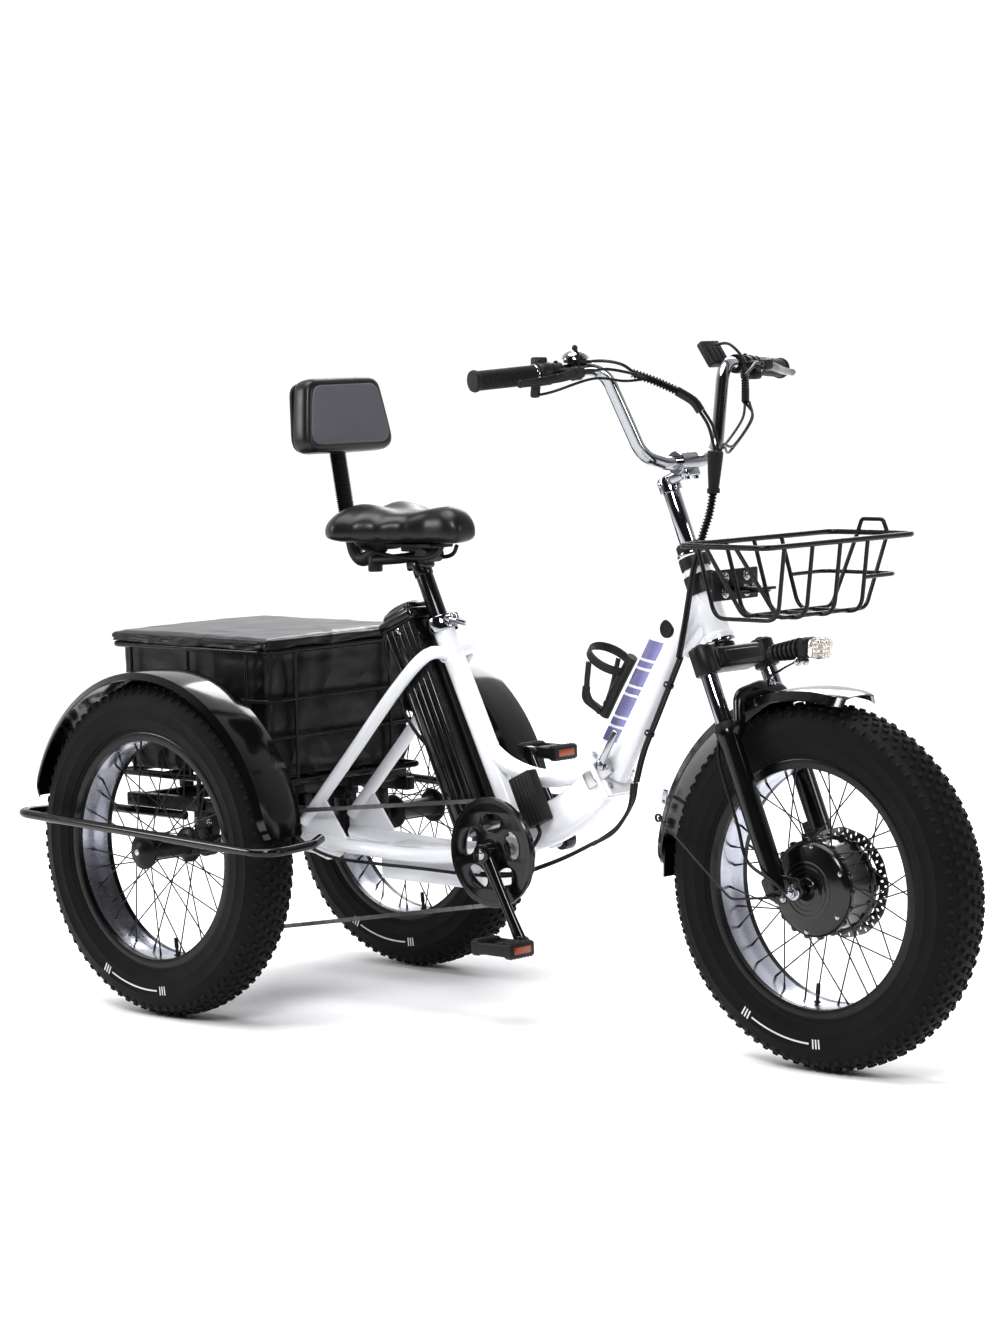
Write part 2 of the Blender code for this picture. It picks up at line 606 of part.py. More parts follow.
def make_bottle_cage():
    """Strip on the rear face of the main tube, with a ring and a foot to hold a bottle."""
    along = Vector((-0.533, 0, -0.846))
    out = Vector((-0.846, 0, 0.533))
    top = Vector((-0.3720, 0, 0.617)) + out * 0.042
    foot = top + along * 0.110
    strip = pipe("strip", [top, foot], 0.006)
    ring_centre = top + along * 0.020 + out * 0.0385
    ring_profile = [(0.036, -0.006), (0.036, 0.006), (0.040, 0.006), (0.040, -0.006)]
    ring = turned("ring", ring_profile, ring_centre, axis=tuple(along), steps=16)
    hook = pipe("hook", rounded_route([foot, foot + out * 0.050, foot + out * 0.058 - along * 0.018], 0.012,
                                      2),
                0.0055)
    arms = [pipe("arm", [foot + out * 0.010 + Vector((0, s * 0.004, 0)),
                         ring_centre + along * 0.004 + Vector((0, s * 0.037, 0))], 0.0045) for s in (-1, 1)]
    finish(weld("bottle_cage", [strip, ring, hook] + arms), "bottle_cage", "black_plastic")


def make_fold_lever():
    """Clamp lever that locks the hinge, on the right side."""
    pivot = HINGE + HINGE_NORMAL * 0.030 + Vector((0, -0.0435, 0))
    hub = rod("hub", pivot + Vector((0, -0.010, 0)), pivot + Vector((0, 0.006, 0)), 0.009)
    handle = block("handle", pivot + Vector((0.018, -0.006, 0.030)), (0.012, 0.006, 0.072), math.radians(-32),
                   bevel=0.002)
    finish(weld("fold_lever", [hub, handle]), "fold_lever", "chrome", pivot)


# ---------------------------------------------------------------- rear frame
STAY_Y = 0.060
STAY_END = Vector((-1.142, 0, 0.322))


def make_rear_frame():
    seat = rod("seat", on_seat(0), (CRANK.x, 0, CRANK.z), SEAT_TUBE_R, sides=16)
    lower = pipe("lower", smooth_route([HINGE - HINGE_NORMAL * 0.006, (-0.500, 0, 0.410), (-0.552, 0, 0.374),
                                        (-0.605, 0, 0.350), (-0.664, 0, 0.338)], 0.045), 0.037, fineness=3,
                 flatten=0.64)
    thin = pipe("thin", smooth_route([(-0.742, 0, 0.478), (-0.685, 0, 0.446), (-0.610, 0, 0.431),
                                      (-0.535, 0, 0.441),
                                      HINGE - HINGE_NORMAL * 0.008 + Vector((0, 0, 0.016))],
                                     0.05), 0.016, fineness=2)
    plate = block("plate", HINGE - HINGE_NORMAL * 0.0055, (0.0100, 0.068, 0.094), HINGE_LEAN)
    shell = rod("shell", (CRANK.x, -0.036, CRANK.z), (CRANK.x, 0.036, CRANK.z), 0.023, sides=16)
    cover = block("cover", (-0.848, 0, 0.262), (0.250, 0.078, 0.062))
    pieces = [seat, lower, thin, plate, shell, cover]
    for side in (-1, 1):
        stay = smooth_route([on_seat(-0.066, 0.0, side * 0.010), on_seat(-0.062, 0.008, side * 0.054),
                             (-0.900, side * STAY_Y, 0.573), (-1.020, side * STAY_Y, 0.448),
                             STAY_END + Vector((0, side * STAY_Y, 0))], 0.07)
        pieces.append(pipe("stay", stay, 0.0115))
        chain_stay = smooth_route([(CRANK.x - 0.004, side * 0.024, CRANK.z), (-0.740, side * 0.044, 0.292),
                                   (-0.900, side * 0.058, 0.284),
                                   STAY_END + Vector((0, side * STAY_Y, -0.030))],
                                  0.08)
        pieces.append(pipe("chain_stay", chain_stay, 0.0125))
    body = weld("rear_frame", pieces)
    trim = block("trim", HINGE + HINGE_NORMAL * 0.0998, (0.2, 0.3, 0.3), HINGE_LEAN)
    body = carve(body, [trim])
    eyes = []
    for low, high in ((-0.034, -0.0215), (0.0215, 0.034)):
        eyes.append(rod("eye", (HINGE.x, HINGE_PIN_Y, HINGE.z + low), (HINGE.x, HINGE_PIN_Y, HINGE.z + high),
                        0.0095))
    eyes.append(block("low_strap", (HINGE.x, 0.0385, HINGE.z - 0.0278), (0.027, 0.017, 0.0120)))
    eyes.append(block("high_strap", (HINGE.x - 0.0155, 0.0433, HINGE.z + 0.0278), (0.033, 0.0135, 0.0120)))
    eyes.append(block("high_ear", HINGE - HINGE_NORMAL * 0.0055 + Vector((-0.0190, 0.040, 0.0278)),
                      (0.0100, 0.020, 0.011), HINGE_LEAN))
    eyes.append(rod("pin", (HINGE.x, HINGE_PIN_Y, HINGE.z - 0.038), (HINGE.x, HINGE_PIN_Y, HINGE.z + 0.038),
                    0.0045))
    bores = [rod("post_bore", on_seat(0.02), on_seat(-0.230), SEAT_POST_R + 0.0006, sides=16),
             rod("crank_bore", (CRANK.x, -0.06, CRANK.z), (CRANK.x, 0.06, CRANK.z), 0.0130, sides=16)]
    body = weld("rear_frame", [carve(body, bores)] + eyes)
    finish(body, "rear_frame", "white_paint")


def make_seat_clamp():
    collar = turned("collar", [(0.0202, -0.016), (0.0262, -0.016), (0.0262, 0.010), (0.0202, 0.010)],
                    on_seat(-0.010), axis=tuple(SEAT_UP), steps=16)
    ear = block("ear", on_seat(-0.013, -0.030), (0.016, 0.018, 0.020), SEAT_LEAN)
    finish(weld("seat_clamp", [collar, ear]), "seat_clamp", "chrome")
    pivot = on_seat(-0.013, -0.032, -0.0125)
    hub = rod("hub", pivot + Vector((0, -0.006, 0)), pivot + Vector((0, 0.0025, 0)), 0.007)
    handle = block("handle", pivot + Vector((0.022, -0.003, -0.004)), (0.044, 0.005, 0.010), bevel=0.0015)
    finish(weld("seat_clamp_lever", [hub, handle]), "seat_clamp_lever", "chrome", pivot)


CARRIER_Z = 0.362
FRONT_TUBE_Z = 0.382


def make_axle_carrier():
    """Rectangular steel frame on the stays, with bearing blocks that hold the split axle."""
    front = block("front", (-1.1645, 0, FRONT_TUBE_Z), (0.026, 0.430, 0.026))
    rear = block("rear", (-1.400, 0, CARRIER_Z), (0.024, 0.430, 0.024))
    pieces = [front, rear]
    for side in (-1, 1):
        pieces.append(block("rail", (-1.290, side * 0.212, CARRIER_Z), (0.300, 0.022, 0.024)))
        pieces.append(block("tab", (-1.1645, side * STAY_Y, 0.334), (0.0265, 0.026, 0.110)))
        for y, width in ((0.212, 0.022), (0.050, 0.020)):
            pieces.append(block("bearing", (REAR_X, side * y, AXLE_Z + 0.020), (0.052, width, 0.094)))
        pieces.append(block("web", (REAR_X + 0.030, side * 0.050, CARRIER_Z), (0.130, 0.018, 0.022)))
    pieces.append(block("rear_web", (-1.320, 0.050, CARRIER_Z), (0.170, 0.018, 0.022)))
    pieces.append(block("rear_web", (-1.320, -0.050, CARRIER_Z), (0.170, 0.018, 0.022)))
    pieces.append(block("caliper", (REAR_X + 0.042, ROTOR_Y, CARRIER_Z - 0.010), (0.044, 0.034, 0.044)))
    pieces.append(block("caliper_arm", (REAR_X + 0.052, ROTOR_Y - 0.022, CARRIER_Z), (0.030, 0.040, 0.018)))
    body = weld("axle_carrier", pieces)
    bores = [rod("bore", (REAR_X, -0.3, AXLE_Z), (REAR_X, 0.3, AXLE_Z), 0.0095, sides=16),
             turned("slot", [(0.020, -0.0025), (0.0725, -0.0025), (0.0725, 0.0025), (0.020, 0.0025)],
                    Vector((REAR_X, ROTOR_Y, AXLE_Z)), steps=24)]
    finish(carve(body, bores), "axle_carrier", "black_paint")


GUARD_R = 0.008


def make_rear_mudguard(side):
    centre = Vector((REAR_X, side * (HALF_TRACK + 0.004), AXLE_Z))
    section = [(0.304, -0.051), (0.3145, -0.044), (0.3170, 0.0), (0.3145, 0.044), (0.304, 0.051)]
    guard = turned("guard", section, centre, steps=18, closed=False, sweep=158, first=-166, thickness=0.0024)
    strut = pipe("strut", rounded_route([(REAR_X, side * 0.2665, 0.6015), (REAR_X, side * 0.2400, 0.560),
                                         (REAR_X, side * 0.2285, 0.480), (REAR_X, side * 0.2285, 0.354)],
                                         0.02, 2),
                 0.0045)
    finish(weld("guard", [guard, strut]), "rear_mudguard_" + side_name(side), "black_paint")


def make_guard_bar(side):
    """Bent tube round a rear wheel: hooked in front, along the outside, and back inside to the carrier."""
    y = side * 0.398
    route = rounded_route([(-0.9060, side * 0.246, 0.333), (-0.8900, side * 0.280, 0.328),
                           (-0.8800, y, 0.325),
                           (-1.5450, y, 0.349), (-1.5450, side * 0.214, 0.3405),
                           (-1.2900, side * 0.214, 0.3405)],
                          0.045, 3)
    bar = pipe("bar", route, GUARD_R)
    finish(bar, "guard_bar_" + side_name(side), "black_paint")


CARGO = {"front": -1.094, "rear": -1.500, "half": 0.190, "low": 0.405, "rim": 0.640}


def make_cargo_basket():
    """Wire crate bolted on the carrier: three rails round it, uprights and floor wires."""
    low = CARGO["low"]
    rim = CARGO["rim"]
    pieces = []
    for z, radius in ((rim, 0.0055), (0.553, WIRE_R), (0.486, WIRE_R), (low, 0.0055)):
        ring = rounded_route([(CARGO["rear"], -CARGO["half"], z), (CARGO["rear"], CARGO["half"], z),
                              (CARGO["front"], CARGO["half"], z), (CARGO["front"], -CARGO["half"], z)],
                             0.020, 2, closed=True)
        pieces.append(pipe("rail", ring, radius, closed=True))
    span = CARGO["front"] - CARGO["rear"]
    for side in (-1, 1):
        for part in (0.12, 0.5, 0.88):
            x = CARGO["rear"] + span * part
            y = side * CARGO["half"]
            pieces.append(rod("upright", (x, y, low), (x, y, rim), WIRE_R, sides=5))
        for x in (CARGO["rear"], CARGO["front"]):
            y = side * CARGO["half"] * 0.62
            pieces.append(rod("upright", (x, y, low), (x, y, rim), WIRE_R, sides=5))
    for y in (-0.111, 0.111):
        pieces.append(rod("floor", (CARGO["rear"], y, low), (CARGO["front"], y, low), WIRE_R, sides=5))
    for x in (-1.400, -1.1645):
        pieces.append(rod("floor", (x, -CARGO["half"], low - 0.0011), (x, CARGO["half"], low - 0.0011),
                          0.0041,
                          sides=5))
    for x, top in ((-1.400, CARRIER_Z + 0.0125), (-1.1645, FRONT_TUBE_Z + 0.0135)):
        for y in (-0.111, 0.111):
            pieces.append(block("foot", (x, y, (top + low) / 2), (0.020, 0.020, low - top)))
    finish(weld("cargo_basket", pieces), "cargo_basket", "black_paint")


def make_cargo_liner():
    """Open-topped fabric bag inside the crate."""
    x = (CARGO["front"] + CARGO["rear"]) / 2
    length = CARGO["front"] - CARGO["rear"] - 0.022
    width = 2 * CARGO["half"] - 0.022
    low = CARGO["low"] + 0.010
    high = CARGO["rim"] - 0.004
    bag = block("bag", (x, 0, (low + high) / 2), (length, width, high - low))
    hollow = block("hollow", (x, 0, (low + high) / 2 + 0.006),
                   (length - 0.010, width - 0.010, high - low + 0.004))
    finish(carve(bag, [hollow]), "cargo_liner", "nylon")


def make_cargo_lid():
    """Soft lid, hinged along the rear rail."""
    x = (CARGO["front"] + CARGO["rear"]) / 2
    lid = block("lid", (x, 0, 0.6555),
                (CARGO["front"] - CARGO["rear"] + 0.014, 2 * CARGO["half"] + 0.014, 0.018),
                bevel=0.006)
    finish(lid, "cargo_lid", "nylon", (CARGO["rear"] - 0.004, 0, 0.6475))


def make_controller_box():
    """Motor controller beside the lower tube, in line with the seat tube."""
    box = block("box", on_seat(-0.372, -0.096, -0.0395), (0.054, 0.028, 0.094), SEAT_LEAN, bevel=0.004)
    finish(box, "controller_box", "black_plastic")


# ---------------------------------------------------------------- drive
AXLE_POINT = Vector((REAR_X, 0, AXLE_Z))


def make_crankset():
    right = Vector((math.sin(CRANK_ANGLE), 0, -math.cos(CRANK_ANGLE)))
    ring = [(0.062, -0.002), (0.062, 0.002), (SPROCKET_R - 0.006, 0.002), (SPROCKET_R - 0.006, -0.002)]
    centre = Vector((CRANK.x, CHAIN_Y, CRANK.z))
    chainring = [turned("ring", ring, centre, steps=24)]
    for k in range(3):
        angle = math.radians(30 + 120 * k)
        out = Vector((math.cos(angle), 0, math.sin(angle)))
        chainring.append(rod("arm", centre + out * 0.016, centre + out * 0.066, 0.0085, sides=4))
    chainring.append(turned("boss", [(0.0130, -0.014), (0.0130, 0.010), (0.024, 0.010), (0.024, -0.014)],
                            centre,
                         steps=16))
    for side, out in ((-1, right), (1, -right)):
        hub = Vector((CRANK.x, side * 0.101, CRANK.z))
        end = hub + out * CRANK_LENGTH + Vector((0, side * 0.010, 0))
        arm = rod("arm", hub, end, 0.0135, sides=8, end_radius=0.010)
        boss = rod("boss", hub + Vector((0, -0.012, 0)), hub + Vector((0, 0.012, 0)), 0.0175)
        spindle = rod("spindle", end, end + Vector((0, side * 0.078, 0)), 0.0050)
        pieces = [arm, boss, spindle]
        if side > 0:
            pieces.append(rod("axle", hub, (CRANK.x, -0.0868, CRANK.z), 0.0115, sides=16))
        else:
            pieces += chainring
        finish(weld("crank", pieces), "crank_" + side_name(side), "black_paint", CRANK)
        make_pedal(side, end)


def make_pedal(side, end):
    centre = end + Vector((0, side * 0.047, 0))
    body = block("body", centre, (0.092, 0.060, 0.024), bevel=0.004)
    windows = [block("window", centre + Vector((dx, 0, 0)), (0.024, 0.040, 0.060)) for dx in (-0.026, 0.026)]
    bore = rod("bore", centre + Vector((0, -0.06, 0)), centre + Vector((0, 0.06, 0)), 0.0058)
    finish(carve(body, windows + [bore]), "pedal_" + side_name(side), "black_plastic", centre)


def make_cassette():
    centre = Vector((REAR_X, CHAIN_Y, AXLE_Z))
    profile = [(0.0094, -0.016), (0.021, -0.016), (CASSETTE_R - 0.012, -0.004), (CASSETTE_R - 0.0055, -0.001),
               (CASSETTE_R - 0.0055, 0.001), (0.030, 0.014), (0.0094, 0.014)]
    finish(turned("cassette", profile, centre, steps=20), "cassette", "steel", centre)


def belt_route(wheels, steps=6):
    """Closed route round circles (x, z, radius), all wrapped on the same side, as a flat loop of points."""
    route = []
    count = len(wheels)
    for i, (x, z, r) in enumerate(wheels):
        angles = []
        for other, leaving in ((wheels[i - 1], False), (wheels[(i + 1) % count], True)):
            first, second = ((x, z, r), other) if leaving else (other, (x, z, r))
            dx = second[0] - first[0]
            dz = second[1] - first[1]
            base = math.atan2(dz, dx)
            angles.append(base + math.acos((first[2] - second[2]) / math.hypot(dx, dz)))
        start, end = angles
        while end > start:
            end -= 2 * math.pi
        for k in range(steps + 1):
            a = start + (end - start) * k / steps
            route.append((x + r * math.cos(a), z + r * math.sin(a)))
    return route


DERAILLEUR = (-1.285, 0.134, 0.020)


def make_chain():
    """Chain as a plain band round the chainring, the cassette and the lower jockey wheel."""
    outer = 0.0035
    inner = -0.0035
    loops = []
    for grow in (outer, inner):
        loops.append(belt_route([(CRANK.x, CRANK.z, SPROCKET_R + grow), (DERAILLEUR[0], DERAILLEUR[1],
                                                                         DERAILLEUR[2] + grow),
                                 (REAR_X, AXLE_Z, CASSETTE_R + grow)]))
    chain = outline_plate("chain", loops[0], CHAIN_Y, 0.007)
    hole = outline_plate("hole", loops[1], CHAIN_Y, 0.020)
    finish(carve(chain, [hole]), "chain", "steel")


def make_derailleur():
    """Hanger and cage beside the chain, with both jockey wheels."""
    x, z, r = DERAILLEUR
    y = CHAIN_Y - 0.010
    cage = outline_plate("cage", [(x - 0.018, z - 0.016), (x + 0.014, z - 0.018), (REAR_X + 0.020, 0.236),
                                  (REAR_X - 0.006, 0.246)], y, 0.003)
    body = block("body", (REAR_X + 0.004, y - 0.016, 0.244), (0.044, 0.030, 0.040), math.radians(-20),
                 bevel=0.004)
    hanger = block("hanger", (-1.1860, -0.1045, 0.3040), (0.068, 0.005, 0.1290))
    wheel = turned("wheel", [(0.003, -0.0035), (0.003, 0.0035), (r - 0.0045, 0.0035), (r - 0.0045, -0.0035)],
                   (x, CHAIN_Y, z), steps=14)
    axle = rod("axle", (x, y, z), (x, CHAIN_Y + 0.006, z), 0.0035)
    finish(weld("derailleur", [cage, body, hanger, wheel, axle]), "derailleur", "black_paint")


# ---------------------------------------------------------------- seat
SADDLE_PIVOT = on_seat(0.112, -0.020)


def make_seat():
    post = rod("post", on_seat(-0.150), on_seat(0.108), SEAT_POST_R, sides=16)
    head = block("head", on_seat(0.104, 0.0), (0.050, 0.030, 0.020), SEAT_LEAN * 0.4)
    finish(weld("seat_post", [post, head]), "seat_post", "black_paint", SEAT_TOP)
    base_z = 0.8235
    base = block("base", (-0.925, 0, base_z), (0.180, 0.060, 0.008))
    clamp = block("clamp", (-0.895, 0, base_z - 0.0070), (0.046, 0.044, 0.0100))
    arm = pipe("arm", rounded_route([(-0.960, 0, base_z - 0.007), (-1.030, 0, base_z - 0.035),
                                     (-1.066, 0, 0.800),
                                     (-1.098, 0, 0.980), (-1.102, 0, 1.040)], 0.03, 3), 0.009)
    finish(weld("saddle_frame", [base, clamp, arm]), "saddle_frame", "black_paint", SADDLE_PIVOT)

    half = [(-0.776, 0.014), (-0.800, 0.026), (-0.860, 0.036), (-0.905, 0.066), (-0.945, 0.112),
            (-0.982, 0.128),
            (-1.020, 0.116), (-1.038, 0.076), (-1.040, 0.022)]
    outline = half + [(x, -y) for x, y in reversed(half)]
    curve = bpy.data.curves.new("saddle", "CURVE")
    curve.dimensions = "2D"
    curve.fill_mode = "BOTH"
    curve.extrude = 0.028
    spline = curve.splines.new("POLY")
    spline.points.add(len(outline) - 1)
    for target, (x, y) in zip(spline.points, outline):
        target.co = (x, y, 0, 1)
    spline.use_cyclic_u = True
    saddle = add_mesh("saddle", curve)
    saddle.location = (0, 0, base_z + 0.0045 + 0.0285)
    saddle = baked(saddle)
    bevel = saddle.modifiers.new("Bevel", "BEVEL")
    bevel.width = 0.010
    bevel.segments = 1
    bevel.limit_method = "ANGLE"
    bevel.angle_limit = math.radians(60)
    finish(baked(saddle), "saddle", "leather", SADDLE_PIVOT)

    pad = block("pad", (-1.082, 0, 1.050), (0.052, 0.228, 0.135), math.radians(8), bevel=0.016)
    clear = pipe("clear", [(-1.096, 0, 0.90), (-1.098, 0, 0.980), (-1.102, 0, 1.060)], 0.0098)
    finish(carve(pad, [clear]), "backrest_pad", "leather", SADDLE_PIVOT)


def make_battery():
    """Battery pack behind the seat tube, with an overhanging cap that is its handle."""
    case = block("case", on_seat(-0.165, 0.0640), (0.070, 0.082, 0.420), SEAT_LEAN, bevel=0.008)
    cap = block("cap", on_seat(0.037, 0.0705), (0.094, 0.090, 0.034), SEAT_LEAN, bevel=0.008)
    finish(weld("battery", [case, cap]), "battery", "black_plastic", on_seat(-0.165, 0.0605))


# ---------------------------------------------------------------- cables
def make_cables():
    """Cables that the tricycle holds all the way, split where the frame folds and where it steers."""
    under = [(-0.272, -0.030, 0.655), (-0.330, -0.020, 0.560), (-0.372, -0.012, 0.492), (-0.392, -0.010,
                                                                                         0.440)]
    finish(pipe("loom", smooth_route(under, 0.02), 0.0050, fineness=2), "frame_loom", "rubber")
    crossing = [(-0.3925, -0.010, 0.4385), (-0.402, -0.010, 0.402), (-0.432, -0.012, 0.362),
                (-0.478, -0.016, 0.332)]
    finish(pipe("loom", smooth_route(crossing, 0.012), 0.0050, fineness=2), "fold_loom", "rubber")
    rear = [(-0.4795, -0.016, 0.3313), (-0.540, -0.020, 0.303), (-0.600, -0.022, 0.280), (-0.650, -0.034,
                                                                                          0.264),
            (-0.720, -0.050, 0.260), (-0.860, -0.051, 0.260), (-0.990, -0.054, 0.260), (-1.050, -0.080,
                                                                                        0.268),
            (-1.090, -0.105, 0.290), (-1.125, -0.125, 0.330), (-1.145, -0.140, 0.372)]
    finish(pipe("loom", smooth_route(rear, 0.03), 0.0045, fineness=2), "rear_loom", "rubber")
    bar = [(-0.176, -0.041, 0.990), (-0.182, -0.041, 0.930), (-0.203, -0.044, 0.860), (-0.222, -0.046, 0.800),
           (-0.247, -0.040, 0.720), (-0.2715, -0.030, 0.6565)]
    finish(pipe("loom", smooth_route(bar, 0.02), 0.0060, fineness=2), "bar_loom", "rubber")


def build():
    make_front_wheel()
    for side in (-1, 1):
        make_rear_wheel(side)
        make_rear_mudguard(side)
        make_guard_bar(side)
        make_bar_fittings(side)
    make_rear_rotor()
    make_fork_upper()
    make_fork_lowers()
    make_front_mudguard()
    make_headlight()
    make_stem()
    make_handlebar()
    make_throttle()
    make_bell()
    make_display()
    make_front_frame()
    make_basket_bracket()
    make_front_basket()
    make_bottle_cage()
    make_fold_lever()
    make_rear_frame()
    make_seat_clamp()
    make_axle_carrier()
    make_cargo_basket()
    make_cargo_liner()
    make_cargo_lid()
    make_controller_box()
    make_crankset()
    make_cassette()
    make_chain()
    make_derailleur()
    make_seat()
    make_battery()
    make_cables()
    for part in PARTS.objects:
        part.location.x += FRONT_AXLE_X


build()
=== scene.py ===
"""Looks of the adult electric tricycle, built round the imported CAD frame.

Lengths are in metres. Places are counted from the front axle's foot on the ground, as the
CAD counts them, and every piece is moved by SHIFT into the frame's own coordinates.
"""

import math
from contextlib import contextmanager

import bmesh
import bpy
from mathutils import Matrix, Vector, noise


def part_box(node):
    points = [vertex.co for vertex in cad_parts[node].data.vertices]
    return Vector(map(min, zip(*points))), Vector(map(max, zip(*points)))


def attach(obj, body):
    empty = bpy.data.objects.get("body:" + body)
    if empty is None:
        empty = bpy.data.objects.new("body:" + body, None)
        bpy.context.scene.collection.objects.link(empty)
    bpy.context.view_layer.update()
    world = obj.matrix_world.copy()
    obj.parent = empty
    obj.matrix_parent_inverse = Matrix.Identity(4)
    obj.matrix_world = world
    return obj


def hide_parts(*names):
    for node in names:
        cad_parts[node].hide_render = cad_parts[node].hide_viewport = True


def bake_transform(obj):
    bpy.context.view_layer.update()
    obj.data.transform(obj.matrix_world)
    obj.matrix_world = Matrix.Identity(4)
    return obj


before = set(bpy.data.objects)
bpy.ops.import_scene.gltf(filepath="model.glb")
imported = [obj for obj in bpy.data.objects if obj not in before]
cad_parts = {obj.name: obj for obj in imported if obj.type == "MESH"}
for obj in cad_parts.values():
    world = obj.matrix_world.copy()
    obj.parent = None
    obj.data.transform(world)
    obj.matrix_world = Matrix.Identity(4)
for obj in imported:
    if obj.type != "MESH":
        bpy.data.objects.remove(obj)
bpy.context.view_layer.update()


def radial(angle):
    """Direction at this angle in the plane of the wheels, from ahead towards the top."""
    return Vector((math.cos(angle), 0, math.sin(angle)))


def sideways(y):
    return Vector((0, y, 0))


def upward(z):
    return Vector((0, 0, z))


# ---------------------------------------------------------------- driving dimensions
tyre_low, tyre_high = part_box("front_tyre")
SHIFT = Vector(((tyre_low.x + tyre_high.x) / 2, 0, 0))
TYRE_R = tyre_high.z / 2
AXLE_Z = TYRE_R
REAR_X = sum(corner.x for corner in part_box("rear_tyre_right")) / 2 - SHIFT.x
HALF_TRACK = sum(corner.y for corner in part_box("rear_tyre_left")) / 2
FRONT_AXLE = upward(AXLE_Z)

HEAD_LEAN = math.radians(22)
HEAD_FOOT = Vector((-0.208, 0, 0.681))
HEAD_LENGTH = 0.156
HEAD_UP = Vector((-math.sin(HEAD_LEAN), 0, math.cos(HEAD_LEAN)))
HEAD_AHEAD = radial(HEAD_LEAN)
LEG_Y = 0.075
LEG_AHEAD = 0.0175

SEAT_LEAN = math.radians(25)
SEAT_TOP = Vector((-0.847, 0, 0.696))
SEAT_UP = Vector((-math.sin(SEAT_LEAN), 0, math.cos(SEAT_LEAN)))
SEAT_BACK = Vector((-math.cos(SEAT_LEAN), 0, -math.sin(SEAT_LEAN)))
CRANK = Vector((-0.655, 0, 0.309))
CRANK_ANGLE = math.radians(32)
CRANK_LENGTH = 0.170
CHAIN_Y = -0.078
ROTOR_Y = 0.085
SPROCKET_R = 0.089
CASSETTE_R = 0.036

HINGE = Vector((-0.457, 0, 0.452))
HINGE_LEAN = math.radians(34.4)
HINGE_NORMAL = radial(HINGE_LEAN)
HINGE_RUN = Vector((-math.sin(HINGE_LEAN), 0, math.cos(HINGE_LEAN)))
HINGE_PIN_Y = 0.047

BAR_R = 0.0111
BAR_CLAMP = Vector((-0.279, 0, 0.973))
BAR_LOW_BEND = Vector((-0.287, -0.093, 0.987))
BAR_TOP_BEND = Vector((-0.316, -0.151, 1.132))
BAR_END = Vector((-0.383, -0.381, 1.117))
BAR_OUT = (BAR_END - BAR_TOP_BEND).normalized()

CARRIER_Z = 0.362
FRONT_TUBE_Z = 0.382
STAY_Y = 0.060
STAY_END = Vector((-1.142, 0, 0.322))
CARGO_FRONT, CARGO_REAR, CARGO_HALF, CARGO_LOW, CARGO_RIM = -1.094, -1.500, 0.190, 0.405, 0.640
CRATE_RINGS = (0.553, 0.486)


def off_axle(x, y, z):
    """Point this far from the front axle's middle."""
    return FRONT_AXLE + Vector((x, y, z))


def on_head(up, ahead=0.0, y=0.0):
    """Point up the steering axis from the foot of the head tube, and ahead of it."""
    return HEAD_FOOT + HEAD_UP * up + HEAD_AHEAD * ahead + sideways(y)


def on_seat(up, back=0.0, y=0.0):
    """Point up the seat tube from its top, and behind it."""
    return SEAT_TOP + SEAT_UP * up + SEAT_BACK * back + sideways(y)


def on_bar(inwards, side, ahead=0.0, up=0.0):
    """Point on a grip's axis, this far in from the end of the bar, then ahead and up."""
    point = BAR_END - BAR_OUT * inwards + Vector((ahead, 0, up))
    return point if side < 0 else mirrored(point)


def outwards(side):
    """Direction out along the grip on this side."""
    return BAR_OUT if side < 0 else mirrored(BAR_OUT)


def mirrored(point):
    return Vector((point[0], -point[1], point[2]))


def label(side):
    return "right" if side < 0 else "left"


def rectangle(rear, front, half, z=0.0):
    """Corners of a level rectangle, as wide to the left as to the right."""
    return [(rear, -half, z), (rear, half, z), (front, half, z), (front, -half, z)]


